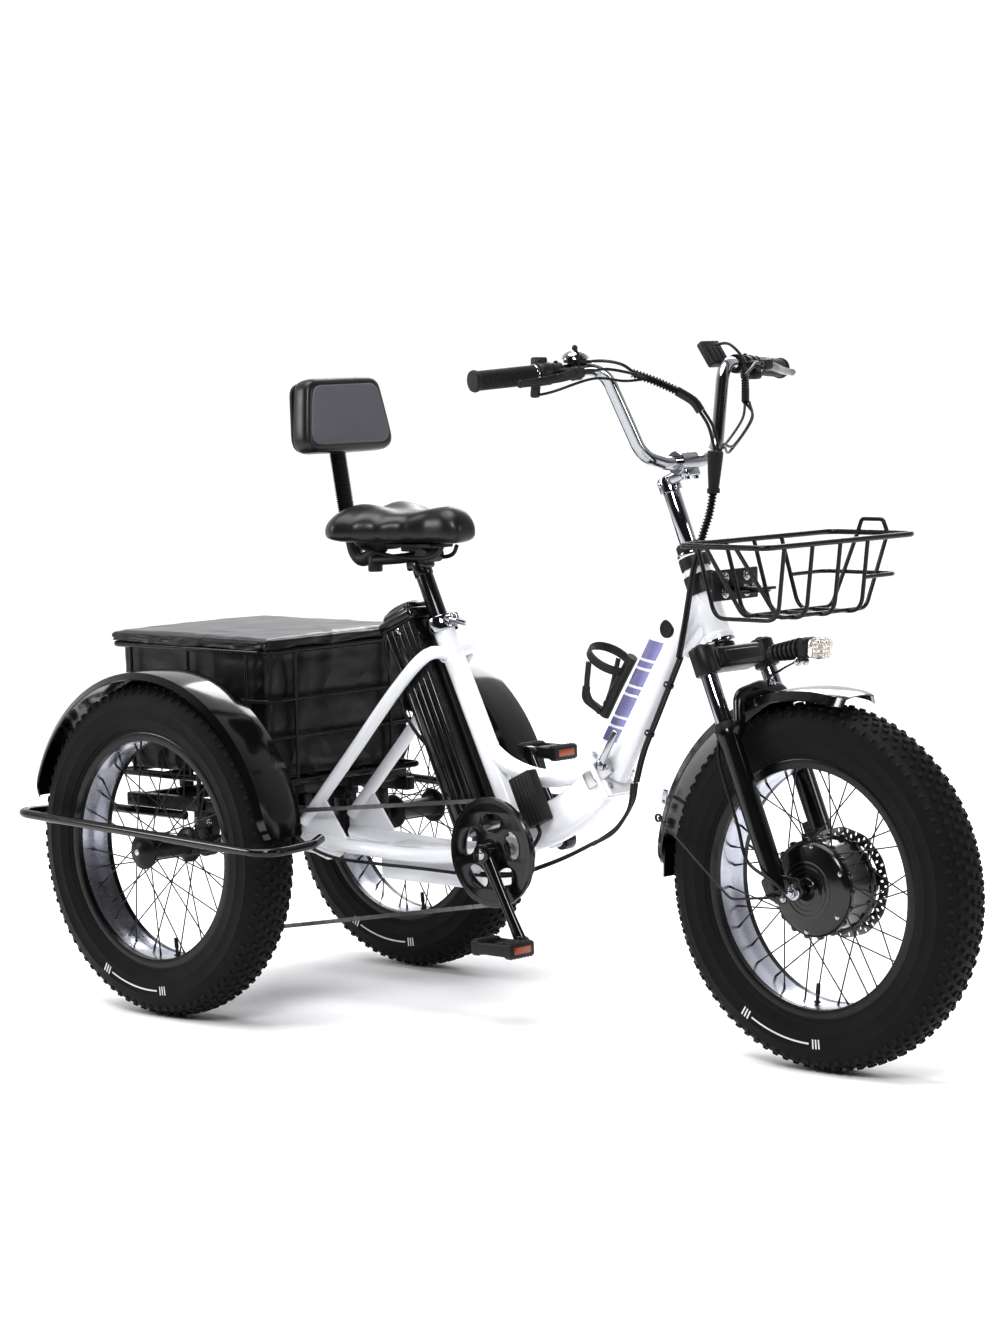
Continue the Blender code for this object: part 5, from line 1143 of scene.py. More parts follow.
def front_basket():
    body = "front_frame"
    low, rim, rear, front, half = 0.735, 0.852, -0.130, 0.047, 0.193
    with piece("front_basket_wires", WIRE, body, "front_basket") as bm:
        ring = rounded(rectangle(rear, front, half, rim), 0.025, 8, closed=True)
        sweep(bm, ring, 0.0045, sides=18, closed=True, up=(0, 0, 1))
        for y in (-0.145, -0.075, -0.005, 0.065):
            legs = rounded([(rear, y, rim), (rear + 0.034, y, low), (front - 0.016, y, low), (front, y, rim)],
                           0.028, 8)
            sweep(bm, legs, 0.0034, sides=14)
        for x, foot in ((-0.073, -0.066), (-0.012, 0.004)):
            cross = rounded([(x, -half, rim), (foot, -0.112, low + 0.0015), (foot, 0.112, low + 0.0015),
                             (x, half, rim)], 0.030, 8)
            sweep(bm, cross, 0.0034, sides=14, up=(1, 0, 0))
        loop = rounded([(-0.073, half, rim), (-0.064, half, rim + 0.022), (-0.021, half, rim + 0.022),
                        (-0.012, half, rim)], 0.009, 6)
        sweep(bm, loop, 0.0034, sides=14)
        middle = rim - 0.062
        rail = rounded([(rear + 0.018, 0.065, middle), (rear + 0.016, 0.154, middle),
                        (front - 0.012, 0.154, middle), (front - 0.0085, 0.065, middle)], 0.02, 8)
        sweep(bm, rail, 0.0034, sides=14, up=(0, 0, 1))
        block(bm, (-0.136, 0, 0.7725), (0.066, 0.036, 0.0050), bevel=0.0015)
    with piece("basket_mount_plate", SATIN, body, "basket_bracket") as bm:
        plate(bm, rounded_outline([(-0.056, -0.025), (0.056, -0.025), (0.056, 0.025), (-0.056, 0.025)],
                                  0.003), 0.006, Matrix.Translation((-0.176, 0, 0.777))
              @ Matrix.Rotation(math.radians(90), 4, "Z") @ UPRIGHT, bevel=0.0008)
        block(bm, (-0.188, 0, 0.777), (0.022, 0.038, 0.034), bevel=0.003)
        block(bm, (-0.1510, 0, 0.7665), (0.052, 0.060, 0.0046), bevel=0.0012)
        clasp = [(0.0228, -0.016), (0.0262, -0.016), (0.0262, 0.016), (0.0228, 0.016)]
        lathe(bm, clasp, on_head(0.100), axis=HEAD_UP, steps=40)
    with piece("basket_mount_bolts", CHROME, body, slot="bright_steel") as bm:
        for y in (-0.027, 0.027):
            for z in (-0.013, 0.013):
                bolt(bm, (-0.1728, y, 0.777 + z), (1, 0, 0), 0.0060, 0.004)
        for y in (-0.010, 0.010):
            bolt(bm, (-0.145, y, 0.7754), (0, 0, 1), 0.004, 0.003)


def bottle_cage():
    along = Vector((-0.533, 0, -0.846))
    out = Vector((-0.846, 0, 0.533))
    top = Vector((-0.3720, 0, 0.617)) + out * 0.042
    foot = top + along * 0.110
    with piece("bottle_cage_body", PLASTIC, "front_frame", "bottle_cage") as bm:
        sweep(bm, smooth([top - along * 0.012 - out * 0.002, top + along * 0.05, foot], 0.01), 0.0095,
              sides=18, flat=0.9)
        ring_centre = top + along * 0.020 + out * 0.0385
        lathe(bm, [(0.0362, -0.007), (0.0362, 0.007), (0.0382, 0.008), (0.0398, 0.006), (0.0398, -0.006),
                   (0.0382, -0.008)], ring_centre, axis=along, steps=44)
        sweep(bm, rounded([foot - along * 0.004, foot + out * 0.050, foot + out * 0.058 - along * 0.020],
                          0.012, 6), 0.0075, sides=16, flat=0.8)
        for side in (-1, 1):
            arm = smooth([foot + out * 0.008 + sideways(side * 0.004),
                          foot - along * 0.030 + out * 0.030 + sideways(side * 0.030),
                          ring_centre + along * 0.010 + out * 0.010 + sideways(side * 0.0375)], 0.006)
            sweep(bm, arm, 0.0055, sides=14, flat=0.55)
    with piece("bottle_cage_bolts", CHROME, "front_frame", slot="bright_steel") as bm:
        for at in (0.025, 0.088):
            bolt(bm, top + along * at + out * 0.0085, out, 0.0042, 0.003, False)


def frame_cables():
    with piece("frame_cable_run", CABLE, "front_frame", "frame_loom") as bm:
        for dy, dx in ((0.0, 0.0), (0.0055, 0.002), (-0.0045, 0.004)):
            under = [(-0.272 + dx, -0.030 + dy, 0.655), (-0.330 + dx, -0.020 + dy, 0.560),
                     (-0.372 + dx, -0.012 + dy, 0.492), (-0.392 + dx, -0.010 + dy, 0.440)]
            sweep(bm, smooth(under, 0.008), 0.0029, sides=12)
        for centre in ((-0.300, -0.025, 0.608), (-0.352, -0.016, 0.524)):
            hoop(bm, 0.0078, 0.0090, 0.0018, centre, axis=(-0.53, 0.1, -0.84))
    for k, (dy, dz) in enumerate(((0.0, 0.0), (0.006, 0.003), (-0.006, -0.007))):
        hose("fold_cable_%d" % k, [(-0.3925, -0.010 + dy, 0.4385), (-0.402, -0.010 + dy, 0.402 + dz),
                (-0.432, -0.012 + dy, 0.362 + dz), (-0.478, -0.016 + dy, 0.332 + dz * 0.4)], 0.0028,
                "front_frame", *(("fold_loom",) if k == 0 else ()),
                bends=("rear_frame", (-0.396, -0.010, 0.425), (-0.470, -0.015, 0.337)))
    with piece("rear_cable_run", CABLE, "rear_frame", "rear_loom") as bm:
        rear = [(-0.4795, -0.016, 0.3313), (-0.540, -0.020, 0.303), (-0.600, -0.022, 0.280),
                (-0.650, -0.034, 0.264), (-0.720, -0.050, 0.260), (-0.860, -0.051, 0.260),
                (-0.990, -0.054, 0.260), (-1.050, -0.080, 0.268), (-1.090, -0.105, 0.290),
                (-1.125, -0.125, 0.330), (-1.145, -0.140, 0.372)]
        sweep(bm, smooth(rear, 0.010), 0.0030, sides=12)
        sweep(bm, smooth([Vector(p) + Vector((0, 0.0055, 0.003)) for p in rear[:5]], 0.010), 0.0026, sides=12)


# ---------------------------------------------------------------- rear frame
def rear_frame():
    body = "rear_frame"
    with piece("rear_frame_tubes", WHITE, body, "rear_frame", angle=50) as bm:
        rod(bm, on_seat(0.0), CRANK, 0.0193, sides=44)
        sweep(bm, smooth([HINGE - HINGE_NORMAL * 0.004, (-0.500, 0, 0.410), (-0.552, 0, 0.374),
                          (-0.605, 0, 0.350), (-0.664, 0, 0.338)], 0.012), 0.0372, sides=40, flat=0.64)
        sweep(bm, smooth([(-0.742, 0, 0.478), (-0.685, 0, 0.446), (-0.610, 0, 0.431), (-0.535, 0, 0.441),
                          HINGE - HINGE_NORMAL * 0.008 + upward(0.016)], 0.012), 0.0160, sides=28)
        block(bm, HINGE - HINGE_NORMAL * 0.0055, (0.0096, 0.066, 0.090), HINGE_LEAN, bevel=0.003)
        rod(bm, (CRANK.x, -0.036, CRANK.z), (CRANK.x, 0.036, CRANK.z), 0.0230, sides=44, bevel=0.001)
        block(bm, (-0.848, 0, 0.262), (0.246, 0.076, 0.060), bevel=0.002)
        for side in (-1, 1):
            stay = smooth([on_seat(-0.066, 0.0, side * 0.010), on_seat(-0.062, 0.008, side * 0.054),
                           (-0.900, side * STAY_Y, 0.573), (-1.020, side * STAY_Y, 0.448),
                           STAY_END + sideways(side * STAY_Y)], 0.012)
            sweep(bm, stay, 0.0115, sides=24)
            chain_stay = smooth([(CRANK.x - 0.004, side * 0.024, CRANK.z), (-0.740, side * 0.044, 0.292),
                                 (-0.900, side * 0.058, 0.284),
                                 STAY_END + Vector((0, side * STAY_Y, -0.030))], 0.012)
            sweep(bm, chain_stay, 0.0125, sides=24)
            weld_bead(bm, on_seat(-0.066, 0.004, side * 0.016), sideways(side), 0.0125)
        weld_bead(bm, (-0.7320, 0, 0.4740), Vector((0.82, 0, -0.4)), 0.0170)
        dropout = rounded_outline([(-1.148, 0.270), (-1.060, 0.262), (-1.030, 0.296), (-1.090, 0.372),
                                   (-1.148, 0.330)], 0.010)
        for side in (-1, 1):
            plate(bm, dropout, 0.005, Matrix.Translation(sideways(side * STAY_Y)) @ UPRIGHT, bevel=0.001)
    with piece("rear_hinge_metal", STEEL, body) as bm:
        for low, high in ((-0.034, -0.0218), (0.0218, 0.034)):
            rod(bm, (HINGE.x, HINGE_PIN_Y, HINGE.z + low), (HINGE.x, HINGE_PIN_Y, HINGE.z + high), 0.0092,
                sides=28, bevel=0.001)
        rod(bm, (HINGE.x, HINGE_PIN_Y, HINGE.z - 0.038), (HINGE.x, HINGE_PIN_Y, HINGE.z + 0.038), 0.0044,
            sides=20, bevel=0.0008)
        block(bm, (HINGE.x, 0.0385, HINGE.z - 0.0278), (0.026, 0.016, 0.0115), bevel=0.002)
        block(bm, (HINGE.x - 0.0155, 0.0433, HINGE.z + 0.0278), (0.032, 0.0130, 0.0115), bevel=0.002)
        block(bm, HINGE - HINGE_NORMAL * 0.018 + sideways(-0.030), (0.024, 0.010, 0.030), HINGE_LEAN,
              bevel=0.003)
    with piece("seat_clamp_collar", CHROME, body, "seat_clamp") as bm:
        lathe(bm, [(0.0203, -0.016), (0.0252, -0.016), (0.0262, -0.014), (0.0262, 0.008), (0.0252, 0.010),
                   (0.0165, 0.010), (0.0165, 0.002), (0.0203, 0.001)], on_seat(-0.010), axis=SEAT_UP,
              steps=44)
        for side in (-1, 1):
            block(bm, on_seat(-0.013, -0.030, side * 0.0052), (0.016, 0.0070, 0.020), SEAT_LEAN, bevel=0.0025)
    with piece("seat_clamp_cam", CHROME, "seat_clamp_lever", "seat_clamp_lever") as bm:
        pivot = on_seat(-0.013, -0.032, -0.0125)
        rod(bm, pivot + sideways(-0.006), pivot + sideways(0.0025), 0.0068, sides=28, bevel=0.001)
        sweep(bm, smooth([pivot + sideways(-0.003), pivot + Vector((0.020, -0.004, -0.002)),
                          pivot + Vector((0.042, -0.002, -0.006))], 0.004), 0.0052, sides=16, flat=0.5)


def weld_bead(bm, centre, axis, radius):
    """Rippled ring of weld round a joint."""
    axis = Vector(axis).normalized()
    out = axis.orthogonal().normalized()
    side = axis.cross(out)
    count = 44
    ring = [Vector(centre)
            + (out * math.cos(2 * math.pi * k / count) + side * math.sin(2 * math.pi * k / count)) * (radius
            + 0.0004 * math.sin(k * 3.0)) for k in range(count)]
    sweep(bm, ring, 0.0018, sides=8, closed=True, up=axis)


def axle_carrier():
    body = "rear_frame"
    with piece("carrier_frame", WIRE, body, "axle_carrier") as bm:
        block(bm, (-1.1645, 0, FRONT_TUBE_Z), (0.025, 0.428, 0.025), bevel=0.003)
        block(bm, (-1.400, 0, CARRIER_Z), (0.024, 0.428, 0.024), bevel=0.003)
        for side in (-1, 1):
            block(bm, (-1.290, side * 0.212, CARRIER_Z), (0.298, 0.022, 0.024), bevel=0.003)
            block(bm, (-1.1645, side * STAY_Y, 0.334), (0.0260, 0.0255, 0.108), bevel=0.002)
            block(bm, (REAR_X + 0.030, side * 0.050, CARRIER_Z), (0.128, 0.018, 0.022), bevel=0.002)
            block(bm, (-1.320, side * 0.050, CARRIER_Z), (0.170, 0.018, 0.022), bevel=0.002)
            for y, width in ((0.212, 0.022), (0.050, 0.020)):
                spot = Vector((REAR_X, side * y, AXLE_Z))
                lathe(bm, [(0.0096, -width / 2), (0.0240, -width / 2), (0.0260, -width / 2 + 0.002),
                           (0.0260, width / 2 - 0.002), (0.0240, width / 2), (0.0096, width / 2)], spot,
                      steps=40)
                block(bm, spot + upward(0.038), (0.050, width * 0.9, 0.050), bevel=0.003)
    with piece("carrier_bolts", CHROME, body, slot="bright_steel") as bm:
        for side in (-1, 1):
            for y, width in ((0.212, 0.022), (0.050, 0.020)):
                for dx in (-0.017, 0.017):
                    bolt(bm, (REAR_X + dx, side * (y + width / 2 - 0.0010), AXLE_Z + 0.036), (0, side, 0),
                         0.0045, 0.004)
            for dz in (0.010, 0.034):
                bolt(bm, (-1.1645, side * (STAY_Y + 0.0130), 0.300 + dz), (0, side, 0), 0.0052, 0.005)
    with piece("rear_caliper", SATIN, body) as bm:
        spot = Vector((REAR_X + 0.042, ROTOR_Y, CARRIER_Z - 0.010))
        for side in (-1, 1):
            block(bm, spot + sideways(side * 0.0098), (0.044, 0.0145, 0.044), bevel=0.004)
        block(bm, spot + Vector((0.010, -0.022, 0.010)), (0.030, 0.040, 0.018), bevel=0.003)


def rear_guard(side):
    body = "rear_frame"
    name = label(side)
    centre = Vector((REAR_X, side * (HALF_TRACK + 0.004), AXLE_Z))
    with piece("rear_mudguard_shell_" + name, GUARD, body, "rear_mudguard_" + name) as bm:
        section = guard_section(0.051, 0.3172, 0.3135, 0.3040, 0.0022)
        mudguard_arch(bm, centre, section, 8.0, 166.0, steps=84, ease=4, pinch=0.25)
    with piece("rear_mudguard_struts_" + name, WIRE, body) as bm:
        strut = rounded([(REAR_X, side * 0.2665, 0.6015), (REAR_X, side * 0.2400, 0.560),
                         (REAR_X, side * 0.2285, 0.480), (REAR_X, side * 0.2285, 0.354)], 0.02, 6)
        sweep(bm, strut, 0.0042, sides=14)
    with piece("rear_guard_bar_" + name, BLACK, body, "guard_bar_" + name) as bm:
        y = side * 0.398
        route = rounded([(-0.9060, side * 0.246, 0.333), (-0.8900, side * 0.280, 0.328), (-0.8800, y, 0.325),
                         (-1.5450, y, 0.349), (-1.5450, side * 0.214, 0.3405),
                         (-1.2900, side * 0.214, 0.3405)], 0.045, 10)
        sweep(bm, route, 0.0079, sides=24)


# ---------------------------------------------------------------- cargo crate
def cargo_crate():
    body = "rear_frame"
    with piece("crate_wires", WIRE, body, "cargo_basket") as bm:
        for z, radius in ((CARGO_RIM, 0.0055), (CRATE_RINGS[0], 0.0034), (CRATE_RINGS[1], 0.0034),
                          (CARGO_LOW, 0.0055)):
            ring = rounded(rectangle(CARGO_REAR, CARGO_FRONT, CARGO_HALF, z), 0.020, 8, closed=True)
            sweep(bm, ring, radius, sides=16, closed=True, up=(0, 0, 1))
        span = CARGO_FRONT - CARGO_REAR
        for side in (-1, 1):
            for part in (0.12, 0.5, 0.88):
                x = CARGO_REAR + span * part
                rod(bm, (x, side * CARGO_HALF, CARGO_LOW), (x, side * CARGO_HALF, CARGO_RIM), 0.0034,
                    sides=16)
            for x in (CARGO_REAR, CARGO_FRONT):
                y = side * CARGO_HALF * 0.62
                rod(bm, (x, y, CARGO_LOW), (x, y, CARGO_RIM), 0.0034, sides=16)
        for k in range(7):
            y = -0.165 + 0.055 * k
            rod(bm, (CARGO_REAR, y, CARGO_LOW), (CARGO_FRONT, y, CARGO_LOW), 0.0030, sides=12)
        for x in (-1.400, -1.1645):
            rod(bm, (x, -CARGO_HALF, CARGO_LOW - 0.0011), (x, CARGO_HALF, CARGO_LOW - 0.0011), 0.0041,
                sides=16)
        for x, top in ((-1.400, CARRIER_Z + 0.0125), (-1.1645, FRONT_TUBE_Z + 0.0135)):
            for y in (-0.111, 0.111):
                block(bm, (x, y, (top + CARGO_LOW) / 2), (0.020, 0.020, CARGO_LOW - top), bevel=0.002)
    with piece("crate_hinge_ties", RUBBER, body) as bm:
        for y in (-0.12, 0.0, 0.12):
            hoop(bm, 0.0066, 0.0082, 0.006, (CARGO_REAR, y, CARGO_RIM))


def puffed(obj, voxel, pressure, cap, frames=20):
    """Blow the closed form up as cloth, keep each point within cap of where it was, and bake it."""
    remesh = obj.modifiers.new("Remesh", "REMESH")
    remesh.mode = "VOXEL"
    remesh.voxel_size = voxel
    bake(obj)
    rest = [v.co.copy() for v in obj.data.vertices]
    cloth = obj.modifiers.new("Cloth", "CLOTH")
    cloth.settings.quality = 5
    cloth.settings.mass = 0.3
    cloth.settings.tension_stiffness = 12
    cloth.settings.compression_stiffness = 12
    cloth.settings.shear_stiffness = 6
    cloth.settings.bending_stiffness = 0.6
    cloth.settings.use_pressure = True
    cloth.settings.uniform_pressure_force = pressure
    cloth.settings.effector_weights.gravity = 0
    cloth.collision_settings.use_collision = False
    cloth.point_cache.frame_start = 1
    cloth.point_cache.frame_end = frames
    for step in range(1, frames + 1):
        bpy.context.scene.frame_set(step)
    bake(obj)
    for vert, old in zip(obj.data.vertices, rest):
        move = vert.co - old
        if move.length > cap:
            vert.co = old + move * (cap / move.length)
    bpy.context.scene.frame_set(1)
    return obj


def bake(obj):
    """Apply the modifiers to the mesh."""
    bpy.context.view_layer.update()
    graph = bpy.context.evaluated_depsgraph_get()
    mesh = bpy.data.meshes.new_from_object(obj.evaluated_get(graph))
    obj.modifiers.clear()
    obj.data = mesh


def wrinkled(obj, amount, scale, seed, keep=None):
    """Soft creases: points move along their normals by smooth noise, except where keep says to hold still."""
    normals = [v.normal.copy() for v in obj.data.vertices]
    for vert, normal in zip(obj.data.vertices, normals):
        if keep and keep(vert.co):
            continue
        at = vert.co * scale + Vector((seed, seed * 1.7, 0))
        crease = 1 - abs(noise.noise(at)) * 2
        swell = noise.noise(at * 0.4)
        vert.co += normal * amount * (0.6 * crease ** 3 + 0.8 * swell - 0.3)


def stepped(loop, spacing):
    """The closed loop again, with points about this far apart along its straight stretches."""
    points = []
    for point, following in zip(loop, loop[1:] + loop[:1]):
        steps = max(1, round((following - point).length / spacing))
        points += [point.lerp(following, k / steps) for k in range(steps)]
    return points


def cargo_bag():
    """Cloth bag inside the crate, bulging between the wires, and its soft lid."""
    x0, x1 = CARGO_REAR + 0.010, CARGO_FRONT - 0.010
    y0 = CARGO_HALF - 0.010
    low, high = CARGO_LOW + 0.009, CARGO_RIM - 0.002
    bm = bmesh.new()
    dense = stepped(rounded(rectangle(x0, x1, y0), 0.018, 4, closed=True), 0.010)
    rows = 24
    middle = Vector(((x0 + x1) / 2, 0, 0))
    shells = []
    for inner in (0.0, 0.0022):
        levels = []
        for r in range(rows + 1):
            z = low + inner + (high - low - inner) * r / rows
            tuck = 0.010 * max(0, 1 - r / 2.5) ** 2
            levels.append([])
            for point in dense:
                way = (point - middle).normalized()
                levels[-1].append(bm.verts.new(Vector((point.x, point.y, z)) - way * (tuck + inner)))
        shells.append(levels)
        skin(bm, levels)
        bm.faces.new(levels[0])
    skin(bm, [shells[0][-1], shells[1][-1]])
    bmesh.ops.recalc_face_normals(bm, faces=bm.faces)
    bag = solid("cargo_bag", bm)
    wires = (*CRATE_RINGS, CARGO_RIM, CARGO_LOW)
    for vert in bag.data.vertices:
        z = vert.co.z
        gap = min(abs(z - wire) for wire in wires)
        along = vert.co.x * 23 + vert.co.y * 31
        crease = noise.noise(Vector((along * 0.6, z * 26, 3.0)))
        crease += 0.6 * noise.noise(Vector((along * 1.7, z * 60, 9.0)))
        way = Vector((vert.co.x - middle.x, vert.co.y, 0))
        if low + 0.004 < z < high - 0.002 and way.length > 0.05:
            if abs(way.x) / (x1 - x0) * 2 > abs(way.y) / y0:
                outward = Vector((1 if way.x > 0 else -1, 0, 0))
            else:
                outward = sideways(1 if way.y > 0 else -1)
            vert.co += outward * (0.0030 * min(1, gap / 0.02) * (1 + crease) - 0.0042)
    register(bag, NYLON, "rear_frame", "cargo_liner", angle=60)

    lid_low, lid_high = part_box("cargo_lid")
    thick = 0.010
    bm = bmesh.new()
    centre = Vector(((x0 + x1) / 2, 0, 0.6565))
    block(bm, centre, (lid_high.x - lid_low.x - 0.010, lid_high.y - lid_low.y - 0.010, thick), bevel=0.004,
          segments=2)
    pad = solid("lid_pad", bm)
    puffed(pad, 0.006, 2.0, 0.0045)
    wrinkled(pad, 0.0034, 11, 2.0)
    for vert in pad.data.vertices:
        vert.co.z = min(vert.co.z, 0.6660)
    register(pad, NYLON_GREY, "cargo_lid", "cargo_lid", angle=70)

    length, width = lid_high.x - lid_low.x, lid_high.y - lid_low.y
    with piece("lid_border", NYLON, "cargo_lid", angle=60) as bm:
        corners = rectangle(centre.x - length / 2 + 0.006, centre.x + length / 2 - 0.006, width / 2 - 0.006,
                            0.6560)
        rim = rounded(corners, 0.018, 8, closed=True)
        sweep(bm, rim, 0.0058, sides=14, closed=True, up=(0, 0, 1))
    hang = 0.013
    with piece("lid_skirt", NYLON, "cargo_lid", angle=60) as bm:
        corners = rectangle(centre.x - length / 2 + 0.005, centre.x + length / 2 - 0.002, width / 2 - 0.002)
        dense = stepped(rounded(corners, 0.016, 6, closed=True), 0.008)
        middle = Vector((centre.x, 0, 0))
        levels = []
        for r in range(7):
            level = []
            for point in dense:
                way = (point - middle).normalized()
                wave = noise.noise(Vector((point.x * 30, point.y * 30, r * 0.35))) * 0.0036 * (0.3 + r / 6)
                edge = noise.noise(Vector((point.x * 9, point.y * 9, 4.0))) * 0.004
                z = 0.6590 - (hang + edge) * r / 6
                level.append(bm.verts.new(Vector((point.x, point.y, z)) + way * (0.0015 + wave)))
            levels.append(level)
        skin(bm, levels)


# ---------------------------------------------------------------- drive
def teeth_outline(radius, count, depth):
    points = []
    for k in range(count):
        for part, r in ((0.00, radius - depth), (0.28, radius - depth), (0.42, radius), (0.58, radius),
                        (0.72, radius - depth)):
            a = 2 * math.pi * (k + part) / count
            points.append((r * math.cos(a), r * math.sin(a)))
    return points


def drive():
    right = Vector((math.sin(CRANK_ANGLE), 0, -math.cos(CRANK_ANGLE)))
    centre = Vector((CRANK.x, CHAIN_Y, CRANK.z))
    with piece("chainring_teeth", DARK_STEEL, "cranks") as bm:
        plate(bm, teeth_outline(SPROCKET_R + 0.0020, 44, 0.0055), 0.0025, Matrix.Translation(centre)
              @ UPRIGHT, [circle(0.066, count=48)])
    with piece("chain_guard_disc", BLACK, "cranks", "crank_right") as bm:
        slots = [circle(0.0160, 0.052 * math.cos(a), 0.052 * math.sin(a), 24, 1.50, a + math.pi / 2)
                 for a in (math.radians(18 + 72 * k) for k in range(5))]
        guard = centre + sideways(-0.0072)
        plate(bm, circle(SPROCKET_R + 0.0055, count=80), 0.0050, Matrix.Translation(guard) @ UPRIGHT, slots,
              bevel=0.0015)
        lathe(bm, [(SPROCKET_R - 0.004, -0.0030), (SPROCKET_R + 0.0040, -0.0030),
                   (SPROCKET_R + 0.0062, -0.0010), (SPROCKET_R + 0.0062, 0.0025),
                   (SPROCKET_R - 0.004, 0.0025)], guard, steps=80)
        lathe(bm, [(0.0120, -0.0120), (0.0240, -0.0100), (0.0280, -0.0040), (0.0280, 0.0120),
                   (0.0120, 0.0140)], centre, steps=40)
    for side, out in ((-1, right), (1, -right)):
        hub = Vector((CRANK.x, side * 0.101, CRANK.z))
        end = hub + out * CRANK_LENGTH + sideways(side * 0.010)
        name = label(side)
        nodes = ("crank_left",) if side > 0 else ()
        with piece("crank_arm_" + name, BLACK, "cranks", *nodes) as bm:
            route = [hub.lerp(end, k / 12) for k in range(13)]
            radii = [0.0150 - 0.0045 * math.sin(math.pi * k / 12 / 1.15) for k in range(13)]
            sweep(bm, route, radii, sides=24, flat=0.62, up=(0, 1, 0))
            rod(bm, hub + sideways(-0.012), hub + sideways(0.012), 0.0172, sides=36, bevel=0.002)
            rod(bm, end + sideways(-0.0085), end + sideways(0.0085), 0.0135, sides=36,
                bevel=0.002)
        with piece("crank_hardware_" + name, CHROME, "cranks", slot="bright_steel") as bm:
            bolt(bm, hub + sideways(side * 0.0115), (0, side, 0), 0.0062, 0.0020)
            rod(bm, end, end + sideways(side * 0.076), 0.0050, sides=20, bevel=0.0008)
            rod(bm, end + sideways(side * 0.0085), end + sideways(side * 0.0125), 0.0085, sides=6,
                bevel=0.0008)
            if side > 0:
                rod(bm, (CRANK.x, -0.0860, CRANK.z), hub, 0.0112, sides=32)
        pedal(side, end)
    cassette_centre = Vector((REAR_X, CHAIN_Y, AXLE_Z))
    with piece("cassette_sprockets", DARK_STEEL, "cassette", "cassette") as bm:
        for k, (radius, teeth) in enumerate(((0.0345, 18), (0.0310, 16), (0.0270, 14), (0.0240, 13),
                                             (0.0215, 12))):
            spot = cassette_centre + sideways(0.0036 * k)
            plate(bm, teeth_outline(radius, teeth, 0.0045), 0.0020, Matrix.Translation(spot) @ UPRIGHT,
                  [circle(0.0095, count=20)])
        lathe(bm, [(0.0096, -0.0150), (0.0175, -0.0150), (0.0175, 0.0155), (0.0096, 0.0155)], cassette_centre,
              steps=32)


def pedal(side, end):
    name = label(side)
    centre = end + sideways(side * 0.047)
    with piece("pedal_block_" + name, PLASTIC, "pedal_" + name, "pedal_" + name) as bm:
        for dx in (-0.038, 0.038):
            block(bm, centre + Vector((dx, 0, 0)), (0.016, 0.060, 0.024), bevel=0.003)
            for k in range(7):
                for dz in (-0.0125, 0.0125):
                    block(bm, centre + Vector((dx, -0.024 + 0.008 * k, dz)), (0.013, 0.0035, 0.0022),
                          bevel=0.0006)
        for dy in (-0.0265, 0.0265):
            block(bm, centre + sideways(dy), (0.070, 0.0070, 0.020), bevel=0.0025)
        block(bm, centre, (0.018, 0.056, 0.018), bevel=0.004)
        for dx in (-0.016, 0.016):
            for dy in (-0.012, 0.012):
                block(bm, centre + Vector((dx, dy, 0)), (0.030, 0.0045, 0.015), bevel=0.001)
    with piece("pedal_reflectors_" + name, AMBER, "pedal_" + name) as bm:
        for dx in (-0.0462, 0.0462):
            block(bm, centre + Vector((dx, 0, 0)), (0.0012, 0.040, 0.0120), bevel=0.0004)


DERAILLEUR = (-1.285, 0.134, 0.020)


def belt(wheels, steps=24):
    """Closed route round circles (x, z, radius), all wrapped on the same side."""
    route = []
    count = len(wheels)
    for i, (x, z, r) in enumerate(wheels):
        angles = []
        for other, leaving in ((wheels[i - 1], False), (wheels[(i + 1) % count], True)):
            first, second = ((x, z, r), other) if leaving else (other, (x, z, r))
            dx, dz = second[0] - first[0], second[1] - first[1]
            angles.append(math.atan2(dz, dx) + math.acos((first[2] - second[2]) / math.hypot(dx, dz)))
        start, end = angles
        while end > start:
            end -= 2 * math.pi
        for k in range(steps + 1):
            a = start + (end - start) * k / steps
            route.append(Vector((x + r * math.cos(a), CHAIN_Y, z + r * math.sin(a))))
    return route


def chain():
    """Roller chain: pairs of link plates with a roller at each pin, spaced evenly along the loop."""
    loop = belt([(CRANK.x, CRANK.z, SPROCKET_R), DERAILLEUR, (REAR_X, AXLE_Z, CASSETTE_R)])
    lengths = [(b - a).length for a, b in zip(loop, loop[1:] + loop[:1])]
    total = sum(lengths)
    count = 2 * round(total / 0.0127 / 2)
    pitch = total / count
    pins = []
    travelled, index = 0.0, 0
    for k in range(count):
        target = k * pitch
        while travelled + lengths[index] < target:
            travelled += lengths[index]
            index += 1
        start, stop = loop[index], loop[(index + 1) % len(loop)]
        pins.append(start.lerp(stop, (target - travelled) / lengths[index]))
    with piece("roller_chain", DARK_STEEL, "rear_frame", "chain", angle=50) as bm:
        for k, pin in enumerate(pins):
            following = pins[(k + 1) % count]
            along = (following - pin).normalized()
            normal = sideways(1)
            other = along.cross(normal)
            offsets = (-0.0031, 0.0031) if k % 2 else (-0.0022, 0.0022)
            for y in offsets:
                faces = []
                for level in (-0.00045, 0.00045):
                    ring = []
                    for at, first in ((pin, 90), (following, -90)):
                        for i in range(5):
                            a = math.radians(first + 45 * i)
                            ring.append(bm.verts.new(at + along * 0.0036 * math.cos(a)
                                    + other * 0.0036 * math.sin(a) + normal * (y + level)))
                    faces.append(ring)
                bm.faces.new(faces[0])
                bm.faces.new(reversed(faces[1]))
                for i in range(10):
                    j = (i + 1) % 10
                    bm.faces.new((faces[0][i], faces[1][i], faces[1][j], faces[0][j]))
            rod(bm, pin - normal * 0.0036, pin + normal * 0.0036, 0.0024, sides=8)


